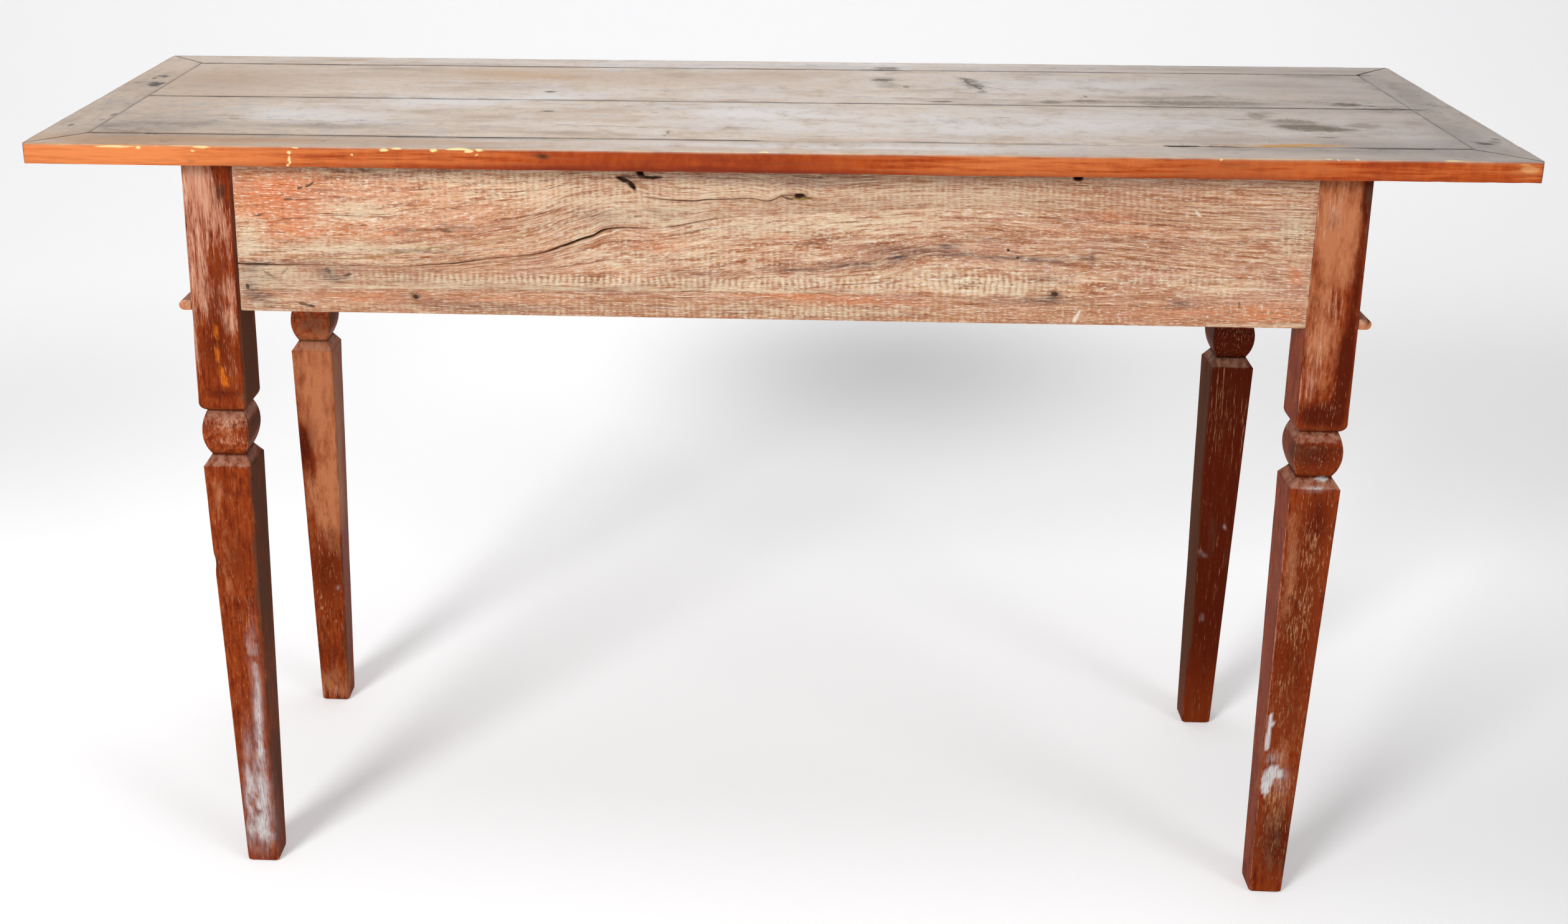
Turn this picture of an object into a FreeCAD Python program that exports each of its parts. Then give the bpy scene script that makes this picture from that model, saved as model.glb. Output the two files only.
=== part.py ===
import FreeCAD, Part
import os

# Kitchen table with two drawers side by side.  A thin boarded top in a mitred frame stands on four square legs, each cut
# by hand to a cushion between two V-shaped necks, then tapered to the foot.  The aprons and drawer rails are tenoned into
# the legs, and each drawer is a dovetailed box that runs on wooden bearers.
#
# Millimetres.  X runs along the table, +Y is the drawer side, -Y is the plain side, Z is up.  The origin is on the floor
# under the middle of the top.

# ---- driving dimensions -------------------------------------------------------------------------------------------
height = 780.0
top_length = 1370.0
top_depth = 458.0
top_thick = 20.0
end_overhang = 137.5            # top's end to the legs' outer faces
side_overhang = 31.5            # top's long edge to the legs' outer faces
leg_size = 48.0
apron_height = 148.5
apron_thick = 22.0

# ---- the top ------------------------------------------------------------------------------------------------------
frame_width = 48.0
plank_joint_y = -4.0            # the two planks meet a little off the middle
corner_round = 4.0
arris_ease = 1.2
tongue_thick = 5.0
tongue_length = 6.5
loose_tongue_length = 28.0      # along the mitre
loose_tongue_width = 16.0       # across the mitre

# ---- the legs, from the apron's lower edge down ---------------------------------------------------------------------
block_below_apron = 92.5
shoulder_height = 11.0
cushion_upper_height = 22.0
cushion_lower_height = 24.5
slope_height = 11.0
upper_neck_cut = 6.3
cushion_cut = 0.9
lower_neck_cut = 7.6
outer_taper = 12.5
inner_taper = 3.0
foot_bevel = 2.0

# ---- tenons ---------------------------------------------------------------------------------------------------------
tenon_thick = 10.0
tenon_set_back = 6.0            # apron's outer face to the tenon's cheek
tenon_length = 28.0
tenon_lower_shoulder = 12.0
haunch_height = 25.0
haunch_length = 8.0
tenon_play = 0.1
tenon_end_room = 1.0

# ---- drawer rails, divider, bearers and kickers ---------------------------------------------------------------------
rail_depth = 40.0
lower_rail_height = 20.0
upper_rail_height = 18.0
twin_tenon_thick = 9.0
twin_tenon_length = 20.0
twin_tenon_shoulder = 3.0
rail_dovetail_length = 22.0
rail_dovetail_root = 18.0
rail_dovetail_end = 26.0
rail_dovetail_thick = 12.0
divider_width = 30.0
divider_tenon_length = 9.0
divider_tenon_thick = 12.0
divider_tenon_width = 24.0
bearing_width = 18.0            # the part of a runner that carries a drawer side
guide_height = 20.0
stub_thick = 8.0
stub_length = 8.0
stub_shoulder = 2.0

# ---- bead along the ends and the drawer side ------------------------------------------------------------------------
bead_height = 10.0
bead_proud = 11.5

# ---- small fixings --------------------------------------------------------------------------------------------------
button_length = 40.0
button_depth = 30.0
button_tongue_length = 8.0
button_tongue_thick = 6.0
screw_radius = 2.0
screw_head_radius = 4.0
screw_head_height = 2.5
screw_length = 28.0
rail_screw_set_in = 27.5        # legs' outer faces to the screws in the upper rail
brad_head_width = 2.2
brad_point_width = 1.0
brad_length = 22.0
end_brad_count = 4              # from one leg's middle to the other's, along an end
long_brad_count = 5             # and along the drawer side
stop_length = 40.0
stop_depth = 16.0
stop_height = 6.0
stop_from_corner = 60.0
hole_play = 0.15

# ---- drawers --------------------------------------------------------------------------------------------------------
drawer_side_gap = 1.2
drawer_top_gap = 1.6
slide_gap = 0.4
drawer_rear_gap = 28.0          # shut drawer to the plain apron
front_thick = 20.0
side_thick = 12.0
back_thick = 12.0
lap_thick = 6.0                 # front left uncut in front of the tails
tail_count = 3
tail_wide_share = 0.70          # of the spacing, at the tail's end
tail_narrow_share = 0.58        # and at its root
bottom_thick = 7.0
bottom_rise = 9.0
bottom_groove = 6.0
bottom_room = 0.5
back_top_drop = 8.0
bottom_nail_share = 0.31        # of the drawer's width, from its middle nail to the outer ones
knob_spigot_radius = 6.0
knob_head_radius = 17.0
knob_length = 28.0
# waist and head, as shares of the head's radius and of the knob's length
KNOB_TURNING = [(0.48, 0.0), (0.48, 0.36), (1.0, 0.62), (1.0, 0.88), (0.86, 1.0)]

# ---- places worked out from the sizes above -------------------------------------------------------------------------
under_top = height - top_thick
half_length = top_length / 2
half_depth = top_depth / 2
leg_out_x = half_length - end_overhang
leg_out_y = half_depth - side_overhang
leg_in_x = leg_out_x - leg_size
leg_in_y = leg_out_y - leg_size
apron_bottom = under_top - apron_height
field_x = half_length - frame_width         # the planks fill the rectangle inside the frame
field_y = half_depth - frame_width
mid_top = height - top_thick / 2
plain_inner_y = -(leg_out_y - apron_thick)
end_inner_x = leg_out_x - apron_thick
rail_back_y = leg_out_y - rail_depth
opening_low = apron_bottom + lower_rail_height
opening_high = under_top - upper_rail_height
divider_half = divider_width / 2
drawer_height = opening_high - opening_low - slide_gap - drawer_top_gap
drawer_low = opening_low + slide_gap
bead_mid = apron_bottom + bead_height / 2
opening_mid_x = (divider_half + leg_in_x) / 2
leg_mid_x = leg_out_x - leg_size / 2
leg_mid_y = leg_out_y - leg_size / 2

AXES = {"x": FreeCAD.Vector(1, 0, 0), "y": FreeCAD.Vector(0, 1, 0), "z": FreeCAD.Vector(0, 0, 1)}
SIDES = {"left": -1, "right": 1}
nodes = {}


# ---- helpers --------------------------------------------------------------------------------------------------------
def vec(x, y, z):
    return FreeCAD.Vector(x, y, z)


def block(x_pair, y_pair, z_pair):
    """Rectangular solid between two coordinates on each axis, given in either order."""
    low = [min(pair) for pair in (x_pair, y_pair, z_pair)]
    high = [max(pair) for pair in (x_pair, y_pair, z_pair)]
    return Part.makeBox(high[0] - low[0], high[1] - low[1], high[2] - low[2], vec(*low))


def prism(points, travel):
    """Solid swept from a flat outline along travel."""
    corners = [vec(*point) for point in points]
    return Part.Face(Part.makePolygon(corners + corners[:1])).extrude(vec(*travel))


def joined(shapes):
    """One solid from shapes that touch or overlap."""
    whole = shapes[0]
    for shape in shapes[1:]:
        whole = whole.fuse(shape)
    return whole.removeSplitter()


def without(shape, cutters):
    for cutter in cutters:
        shape = shape.cut(cutter)
    return shape


def turned(outline, place, axis):
    """Solid turned from an outline of (radius, distance along the axis) corners."""
    corners = [vec(radius, 0, along) for radius, along in outline]
    solid = Part.Face(Part.makePolygon(corners + corners[:1])).revolve(vec(0, 0, 0), AXES["z"], 360)
    solid.Placement = FreeCAD.Placement(vec(*place), FreeCAD.Rotation(AXES["z"], vec(*axis)))
    return solid


def grown(boxes, play, room):
    """Tenon boxes made into their mortises: play on every cheek and room at the end."""
    return [((-1.0, u[1] + room), (w[0] - play, w[1] + play), (z[0] - play, z[1] + play)) for u, w, z in boxes]


def placed_along_x(boxes, end, side):
    """Boxes given as (out from the shoulder, in from the legs' outer faces, height), on a member that runs along X."""
    return [block([end * (leg_in_x + u) for u in out], [side * (leg_out_y - w) for w in inward], z)
            for out, inward, z in boxes]


def placed_along_y(boxes, end, side):
    """The same on a member that runs along Y, at the table's end given by side."""
    return [block([side * (leg_out_x - w) for w in inward], [end * (leg_in_y + u) for u in out], z)
            for out, inward, z in boxes]


def screw(x, y, play=0.0):
    """Countersunk screw driven up into the top from a face that is one upper rail below it."""
    head = screw_head_radius + play
    shank = screw_radius + play
    outline = [(0, 0), (head, 0), (shank, screw_head_height), (shank, screw_length + play), (0, screw_length + play)]
    return turned(outline, (x, y, opening_high), (0, 0, 1))


def brad(place, axis, play=0.0):
    """Square cut brad whose head is flush at place and which tapers along axis."""
    head = brad_head_width / 2 + play
    point = brad_point_width / 2 + play
    nail = Part.makeWedge(-head, 0, -head, -point, -point, head, brad_length + play, head, point, point)
    nail.Placement = FreeCAD.Placement(vec(*place), FreeCAD.Rotation(AXES["y"], vec(*axis)))
    return nail


def keep(name, *shapes):
    """Stores a node; several separate solids of one kind share it."""
    nodes[name] = shapes[0] if len(shapes) == 1 else Part.makeCompound(list(shapes))


# ---- where the screws and brads go ------------------------------------------------------------------------------------
def screw_places():
    rail_y = leg_out_y - rail_screw_set_in
    return [(side * opening_mid_x, y) for y in (plain_inner_y + button_depth / 2, rail_y) for side in (-1, 1)]


def evenly(half, count):
    """Places from -half to half, both included."""
    return [half * (2 * i / (count - 1) - 1) for i in range(count)]


def end_brad_places(side):
    return [((side * (leg_out_x + bead_proud), y, bead_mid), (-side, 0, 0)) for y in evenly(leg_mid_y, end_brad_count)]


def long_brad_places():
    return [((x, leg_out_y + bead_proud, bead_mid), (0, -1, 0)) for x in evenly(leg_mid_x, long_brad_count)]


SCREWS = screw_places()
BRADS = end_brad_places(-1) + end_brad_places(1) + long_brad_places()


# ---- top: mitred frame round two tongued planks -------------------------------------------------------------------------
def rounded_slab():
    """The whole top with its corners rounded and its outer arrises eased."""
    slab = block((-half_length, half_length), (-half_depth, half_depth), (under_top, height))
    upright = [e for e in slab.Edges if e.BoundBox.ZLength > top_thick / 2]
    slab = slab.makeFillet(corner_round, upright)
    rims = [e for e in slab.Edges if e.BoundBox.ZLength < top_thick / 2]
    return slab.makeChamfer(arris_ease, rims)


def loose_tongue(x_side, y_side, play=0.0):
    """Thin tongue that lies across a mitre and keeps its two members level."""
    half_l = loose_tongue_length / 2 + play
    half_w = loose_tongue_width / 2 + play
    half_t = tongue_thick / 2 + play
    tongue = block((-half_l, half_l), (-half_w, half_w), (-half_t, half_t))
    tongue.rotate(vec(0, 0, 0), AXES["z"], 45 * x_side * y_side)
    tongue.translate(vec(x_side * (field_x + frame_width / 2), y_side * (field_y + frame_width / 2), mid_top))
    return tongue


def make_top_frame():
    slab = rounded_slab()
    reach = 10.0                                # cutting outlines pass the slab's own edge by this much
    room = tongue_length + bottom_room
    half_groove = tongue_thick / 2 + tenon_play
    groove = block((-field_x - room, field_x + room), (-field_y - room, field_y + room),
                   (mid_top - half_groove, mid_top + half_groove))
    field = block((-field_x, field_x), (-field_y, field_y), (under_top - 1, height + 1))
    slots = [loose_tongue(sx, sy, tenon_play) for sx in (-1, 1) for sy in (-1, 1)]
    ring = without(slab, [field, groove] + slots)
    out_x = half_length + reach
    out_y = half_depth + reach
    for name, side in (("plain_side", -1), ("drawer_side", 1)):
        outline = [(-out_x, side * out_y, under_top - 1), (out_x, side * out_y, under_top - 1),
                   (field_x, side * field_y, under_top - 1), (-field_x, side * field_y, under_top - 1)]
        keep("top_rail_" + name, ring.common(prism(outline, (0, 0, top_thick + 2))))
    for name, side in SIDES.items():
        outline = [(side * out_x, -out_y, under_top - 1), (side * out_x, out_y, under_top - 1),
                   (side * field_x, field_y, under_top - 1), (side * field_x, -field_y, under_top - 1)]
        keep("top_end_" + name, ring.common(prism(outline, (0, 0, top_thick + 2))))
    keep("mitre_tongues", *[loose_tongue(sx, sy) for sx in (-1, 1) for sy in (-1, 1)])


def make_planks():
    half_tongue = tongue_thick / 2
    half_groove = half_tongue + tenon_play
    screw_holes = [screw(x, y, hole_play) for x, y in SCREWS]
    for name, side in (("plain_side", -1), ("drawer_side", 1)):
        outer = side * field_y
        board = block((-field_x, field_x), (plank_joint_y, outer), (under_top, height))
        tongue = block((-field_x - tongue_length, field_x + tongue_length),
                       (plank_joint_y, outer + side * tongue_length), (mid_top - half_tongue, mid_top + half_tongue))
        plank = joined([board, tongue])
        if side < 0:
            room = tongue_length + bottom_room
            plank = plank.cut(block((-half_length, half_length), (plank_joint_y - room, plank_joint_y),
                                    (mid_top - half_groove, mid_top + half_groove)))
        else:
            plank = joined([plank, block((-field_x, field_x), (plank_joint_y - tongue_length, plank_joint_y),
                                         (mid_top - half_tongue, mid_top + half_tongue))])
        keep("top_plank_" + name, without(plank, screw_holes))


# ---- legs -------------------------------------------------------------------------------------------------------------
def leg_side(inward, face, taper, point):
    """Edges of one face's profile from the top down to the foot; inward is the direction into the leg, and point turns a
    place across the leg and a height into a 3-D point."""
    def at(cut, z):
        return point(face + inward * cut, z)

    z_block = apron_bottom - block_below_apron
    z_upper_neck = z_block - shoulder_height
    z_cushion = z_upper_neck - cushion_upper_height
    z_lower_neck = z_cushion - cushion_lower_height
    z_taper = z_lower_neck - slope_height
    return [
        Part.makeLine(at(0, under_top), at(0, z_block)),
        Part.Arc(at(0, z_block), at(upper_neck_cut * 0.35, z_block - shoulder_height * 0.72),
                 at(upper_neck_cut, z_upper_neck)).toShape(),
        Part.Arc(at(upper_neck_cut, z_upper_neck), at(cushion_cut, z_cushion),
                 at(lower_neck_cut, z_lower_neck)).toShape(),
        Part.makeLine(at(lower_neck_cut, z_lower_neck), at(0, z_taper)),
        Part.makeLine(at(0, z_taper), at(taper, foot_bevel)),
        Part.makeLine(at(taper, foot_bevel), at(taper + foot_bevel, 0)),
    ]


def leg_profile(outer, inner, point):
    """Flat outline of a leg seen square to one of its faces."""
    outside = leg_side(-1, outer, outer_taper, point)
    inside = leg_side(1, inner, inner_taper, point)
    top = Part.makeLine(point(outer, under_top), point(inner, under_top))
    foot = Part.makeLine(point(outer - outer_taper - foot_bevel, 0), point(inner + inner_taper + foot_bevel, 0))
    return Part.Face(Part.Wire(Part.__sortEdges__(outside + [foot] + inside + [top])))


def plain_leg():
    """Leg of the corner at +X +Y: the profile is sawn square from both directions, so the two sweeps are intersected."""
    from_the_side = leg_profile(leg_out_x, leg_in_x, lambda across, z: vec(across, leg_in_y, z))
    from_the_end = leg_profile(leg_out_y, leg_in_y, lambda across, z: vec(leg_in_x, across, z))
    return from_the_side.extrude(vec(0, leg_size, 0)).common(from_the_end.extrude(vec(leg_size, 0, 0)))


def apron_tenon():
    cheeks = (tenon_set_back, tenon_set_back + tenon_thick)
    return [((0, tenon_length), cheeks, (apron_bottom + tenon_lower_shoulder, under_top - haunch_height)),
            ((0, haunch_length), cheeks, (under_top - haunch_height, under_top))]


def twin_tenon():
    """Pair of tenons side by side on the lower drawer rail, which lies flat."""
    rise = (apron_bottom + twin_tenon_shoulder, opening_low - twin_tenon_shoulder)
    starts = (tenon_set_back, rail_depth - tenon_set_back - twin_tenon_thick)
    return [((0, twin_tenon_length), (start, start + twin_tenon_thick), rise) for start in starts]


def rail_dovetail(end, play=0.0):
    """Dovetail at one end of the upper drawer rail, let down into the top of the leg."""
    middle = leg_out_y - rail_depth / 2
    root = rail_dovetail_root / 2 + play
    tip = rail_dovetail_end / 2 + play
    low = under_top - rail_dovetail_thick - play
    start = end * leg_in_x
    stop = end * (leg_in_x + rail_dovetail_length + play)
    outline = [(start, middle - root, low), (start, middle + root, low), (stop, middle + tip, low),
               (stop, middle - tip, low)]
    return prism(outline, (0, 0, under_top - low))


def make_legs():
    blank = plain_leg()
    apron_mortise = grown(apron_tenon(), tenon_play, tenon_end_room)
    rail_mortise = grown(twin_tenon(), tenon_play, tenon_end_room)
    for side_name, side in SIDES.items():
        for row_name, row in (("plain_side", -1), ("drawer_side", 1)):
            leg = blank if side > 0 else blank.mirror(vec(0, 0, 0), AXES["x"])
            leg = leg if row > 0 else leg.mirror(vec(0, 0, 0), AXES["y"])
            cutters = placed_along_y(apron_mortise, row, side)
            if row < 0:
                cutters += placed_along_x(apron_mortise, side, row)
            else:
                cutters += placed_along_x(rail_mortise, side, row) + [rail_dovetail(side, tenon_play)]
            cutters += [brad(*spot, play=hole_play) for spot in BRADS]
            keep("leg_%s_%s" % (row_name, side_name), without(leg, cutters))


# ---- aprons -------------------------------------------------------------------------------------------------------------
def stub_ends(x_pair, z_mid, grow=0.0, room=0.0):
    """Stub tenons at both ends of a bearer that runs from the plain apron to a drawer rail."""
    half = stub_thick / 2 + grow
    low, high = min(x_pair) + stub_shoulder - grow, max(x_pair) - stub_shoulder + grow
    reach = stub_length + room
    return [block((low, high), (plain_inner_y - reach, plain_inner_y), (z_mid - half, z_mid + half)),
            block((low, high), (rail_back_y, rail_back_y + reach), (z_mid - half, z_mid + half))]


def bearer_spans():
    """X range of the strip of each bearer that passes between the drawer rails and the plain apron."""
    return {"left": (-leg_in_x, -leg_in_x + bearing_width),
            "centre": (-divider_half - bearing_width, divider_half + bearing_width),
            "right": (leg_in_x - bearing_width, leg_in_x)}


RUNNER_MID = opening_low - lower_rail_height / 2
KICKER_MID = under_top - upper_rail_height / 2


def bearer_mortises():
    return [stub for z_mid in (RUNNER_MID, KICKER_MID) for span in bearer_spans().values()
            for stub in stub_ends(span, z_mid, tenon_play, bottom_room)]


def make_aprons():
    outer_y = -leg_out_y
    board = block((-leg_in_x, leg_in_x), (outer_y, plain_inner_y), (apron_bottom, under_top))
    tenons = placed_along_x(apron_tenon(), -1, -1) + placed_along_x(apron_tenon(), 1, -1)
    slot_half = button_length / 2 + 1
    button_slots = [block((side * opening_mid_x - slot_half, side * opening_mid_x + slot_half),
                          (plain_inner_y - button_tongue_length - bottom_room, plain_inner_y),
                          (opening_high - tenon_play, opening_high + button_tongue_thick + tenon_play))
                    for side in (-1, 1)]
    keep("apron_plain_side", without(joined([board] + tenons), bearer_mortises() + button_slots))
    for name, side in SIDES.items():
        board = block((side * end_inner_x, side * leg_out_x), (-leg_in_y, leg_in_y), (apron_bottom, under_top))
        tenons = placed_along_y(apron_tenon(), -1, side) + placed_along_y(apron_tenon(), 1, side)
        holes = [brad(*spot, play=hole_play) for spot in end_brad_places(side)]
        keep("apron_" + name, without(joined([board] + tenons), holes))


# ---- drawer rails and divider ---------------------------------------------------------------------------------------------
def divider_tenon(z_pair, play=0.0):
    mid_y = leg_out_y - rail_depth / 2
    half_x = divider_tenon_thick / 2 + play
    half_y = divider_tenon_width / 2 + play
    return block((-half_x, half_x), (mid_y - half_y, mid_y + half_y), z_pair)


def make_drawer_rails():
    y_pair = (rail_back_y, leg_out_y)
    lower_z = (opening_low - divider_tenon_length, opening_low)
    upper_z = (opening_high, opening_high + divider_tenon_length)
    deeper = tenon_play
    lower = joined([block((-leg_in_x, leg_in_x), y_pair, (apron_bottom, opening_low))]
                   + placed_along_x(twin_tenon(), -1, 1) + placed_along_x(twin_tenon(), 1, 1))
    cutters = bearer_mortises() + [divider_tenon((lower_z[0] - deeper, lower_z[1]), tenon_play)]
    cutters += [brad(*spot, play=hole_play) for spot in long_brad_places()]
    keep("drawer_rail_lower", without(lower, cutters))
    upper = joined([block((-leg_in_x, leg_in_x), y_pair, (opening_high, under_top)),
                    rail_dovetail(-1), rail_dovetail(1)])
    cutters = bearer_mortises() + [divider_tenon((upper_z[0], upper_z[1] + deeper), tenon_play)]
    cutters += [screw(x, y, hole_play) for x, y in SCREWS]
    keep("drawer_rail_upper", without(upper, cutters))
    post = block((-divider_half, divider_half), y_pair, (opening_low, opening_high))
    keep("drawer_divider", joined([post, divider_tenon(lower_z), divider_tenon(upper_z)]))


# ---- runners under the drawers, kickers over them, guides beside them --------------------------------------------------------
def bearer(name, z_pair):
    """Board from the plain apron to a drawer rail; at an end of the table it widens between the legs to the end apron."""
    span = bearer_spans()[name]
    pieces = [block(span, (plain_inner_y, rail_back_y), z_pair)] + stub_ends(span, sum(z_pair) / 2)
    if name in SIDES:
        side = SIDES[name]
        pieces.append(block((side * leg_in_x, side * end_inner_x), (-leg_in_y, leg_in_y), z_pair))
    return joined(pieces)


def make_bearers():
    for name in ("left", "centre", "right"):
        keep("runner_" + name, bearer(name, (apron_bottom, opening_low)))
        keep("kicker_" + name, bearer(name, (opening_high, under_top)))
    z_pair = (opening_low, opening_low + guide_height)
    for name, side in SIDES.items():
        keep("guide_" + name, block((side * leg_in_x, side * end_inner_x), (-leg_in_y, leg_in_y), z_pair))
    keep("guide_centre", block((-divider_half, divider_half), (plain_inner_y, rail_back_y), z_pair))


# ---- bead -----------------------------------------------------------------------------------------------------------------
def bead_section(point):
    """D-shaped section with a flat back; point turns a distance out from the leg's face and a height into a 3-D point."""
    nose = bead_height / 2
    top = apron_bottom + bead_height
    flat = bead_proud - nose
    edges = [Part.makeLine(point(0, apron_bottom), point(flat, apron_bottom)),
             Part.Arc(point(flat, apron_bottom), point(bead_proud, bead_mid), point(flat, top)).toShape(),
             Part.makeLine(point(flat, top), point(0, top)),
             Part.makeLine(point(0, top), point(0, apron_bottom))]
    return Part.Face(Part.Wire(edges))


def make_beads():
    low, rise = apron_bottom - 1, bead_height + 2
    out_x, out_y = leg_out_x + bead_proud, leg_out_y + bead_proud
    holes = [brad(*spot, play=hole_play) for spot in BRADS]
    for name, side in SIDES.items():
        section = bead_section(lambda out, z: vec(side * (leg_out_x + out), -leg_out_y, z))
        strip = section.extrude(vec(0, leg_out_y + out_y, 0))
        plan = [(side * leg_out_x, -leg_out_y, low), (side * out_x, -leg_out_y, low), (side * out_x, out_y, low),
                (side * leg_out_x, leg_out_y, low)]
        keep("bead_" + name, without(strip.common(prism(plan, (0, 0, rise))), holes))
    section = bead_section(lambda out, z: vec(-out_x, leg_out_y + out, z))
    strip = section.extrude(vec(2 * out_x, 0, 0))
    plan = [(-leg_out_x, leg_out_y, low), (-out_x, out_y, low), (out_x, out_y, low), (leg_out_x, leg_out_y, low)]
    keep("bead_drawer_side", without(strip.common(prism(plan, (0, 0, rise))), holes))
    keep("bead_brads", *[brad(*spot) for spot in BRADS])


# ---- fixings of the top, and drawer stops -----------------------------------------------------------------------------------
def make_fixings():
    holes = [screw(x, y, hole_play) for x, y in SCREWS]
    buttons = []
    for side in (-1, 1):
        x_pair = (side * opening_mid_x - button_length / 2, side * opening_mid_x + button_length / 2)
        body = block(x_pair, (plain_inner_y, plain_inner_y + button_depth), (opening_high, under_top))
        tongue = block(x_pair, (plain_inner_y - button_tongue_length, plain_inner_y),
                       (opening_high, opening_high + button_tongue_thick))
        buttons.append(without(joined([body, tongue]), holes))
    keep("top_buttons", *buttons)
    keep("top_screws", *[screw(x, y) for x, y in SCREWS])
    front_face = leg_out_y - front_thick - slide_gap
    stops = []
    for side in (-1, 1):
        for mid_x in (divider_half + stop_from_corner, leg_in_x - stop_from_corner):
            stops.append(block((side * mid_x - stop_length / 2, side * mid_x + stop_length / 2),
                               (front_face - stop_depth, front_face), (opening_low, opening_low + stop_height)))
    keep("drawer_stops", *stops)


# ---- drawers ------------------------------------------------------------------------------------------------------------
def tails(root_y, end_y, x_pair, z_low, z_high):
    """Row of dovetails on the end of a drawer side, widening from root_y to end_y."""
    spacing = (z_high - z_low) / tail_count
    wide = spacing * tail_wide_share / 2
    narrow = spacing * tail_narrow_share / 2
    x_low, x_high = min(x_pair), max(x_pair)
    row = []
    for i in range(tail_count):
        mid = z_low + (i + 0.5) * spacing
        outline = [(x_low, root_y, mid - narrow), (x_low, root_y, mid + narrow), (x_low, end_y, mid + wide),
                   (x_low, end_y, mid - wide)]
        row.append(prism(outline, (x_high - x_low, 0, 0)))
    return row


def knob(x, z):
    """Turned knob: spigot through the drawer front, waist and a swelling head with a flat tip."""
    spigot = [(0, -front_thick), (knob_spigot_radius, -front_thick), (knob_spigot_radius, 0)]
    turning = [(radius * knob_head_radius, along * knob_length) for radius, along in KNOB_TURNING]
    return turned(spigot + turning + [(0, knob_length)], (x, leg_out_y, z), (0, 1, 0))


def make_drawer(name, side):
    x_inner = side * (divider_half + drawer_side_gap)
    x_outer = side * (leg_in_x - drawer_side_gap)
    face_y = leg_out_y
    front_back_y = face_y - front_thick
    rear_y = plain_inner_y + drawer_rear_gap
    back_front_y = rear_y + back_thick
    tail_end_y = face_y - lap_thick
    top_z = drawer_low + drawer_height
    groove_z = (drawer_low + bottom_rise, drawer_low + bottom_rise + bottom_thick)
    back_z = (groove_z[1], top_z - back_top_drop)

    side_x = {"inner": (x_inner, x_inner + side * side_thick), "outer": (x_outer, x_outer - side * side_thick)}
    groove_x = (x_inner + side * (side_thick - bottom_groove), x_outer - side * (side_thick - bottom_groove))
    groove = block(groove_x, (rear_y, front_back_y + bottom_groove), groove_z)
    front_tails = {key: tails(front_back_y, tail_end_y, pair, drawer_low, top_z) for key, pair in side_x.items()}
    back_tails = {key: tails(back_front_y, rear_y, pair, *back_z) for key, pair in side_x.items()}

    spigot_z = drawer_low + drawer_height / 2
    mid_x = (x_inner + x_outer) / 2
    spigot_hole = Part.makeCylinder(knob_spigot_radius + hole_play, front_thick, vec(mid_x, front_back_y, spigot_z),
                                    AXES["y"])
    front = block((x_inner, x_outer), (front_back_y, face_y), (drawer_low, top_z))
    keep(name + "_front", without(front, front_tails["inner"] + front_tails["outer"] + [groove, spigot_hole]))

    for key, pair in side_x.items():
        board = block(pair, (rear_y, front_back_y), (drawer_low, top_z))
        back_zone = block(pair, (rear_y, back_front_y), back_z)
        keep("%s_side_%s" % (name, key), joined([board.cut(back_zone)] + front_tails[key] + back_tails[key]).cut(groove))

    back = block((x_inner, x_outer), (rear_y, back_front_y), back_z)
    nail_step = bottom_nail_share * abs(x_outer - x_inner)
    nail_heads = [(mid_x + i * nail_step, (rear_y + back_front_y) / 2, groove_z[0]) for i in (-1, 0, 1)]
    nails = [brad(head, (0, 0, 1)) for head in nail_heads]
    nail_holes = [brad(head, (0, 0, 1), hole_play) for head in nail_heads]
    keep(name + "_back", without(back, back_tails["inner"] + back_tails["outer"] + nail_holes))

    panel = block((groove_x[0] + side * bottom_room, groove_x[1] - side * bottom_room),
                  (rear_y, front_back_y + bottom_groove - bottom_room), groove_z)
    keep(name + "_bottom", without(panel, nail_holes))
    keep(name + "_bottom_brads", *nails)
    keep(name + "_knob", knob(mid_x, spigot_z))


# ---- the whole table ---------------------------------------------------------------------------------------------------
make_top_frame()
make_planks()
make_legs()
make_aprons()
make_drawer_rails()
make_bearers()
make_beads()
make_fixings()
for side_name, side_sign in SIDES.items():
    make_drawer("drawer_" + side_name, side_sign)

os.makedirs("parts", exist_ok=True)
for node_name, shape in nodes.items():
    shape.exportStep("parts/%s.step" % node_name)
print("%d nodes" % len(nodes))
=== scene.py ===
import math

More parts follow.
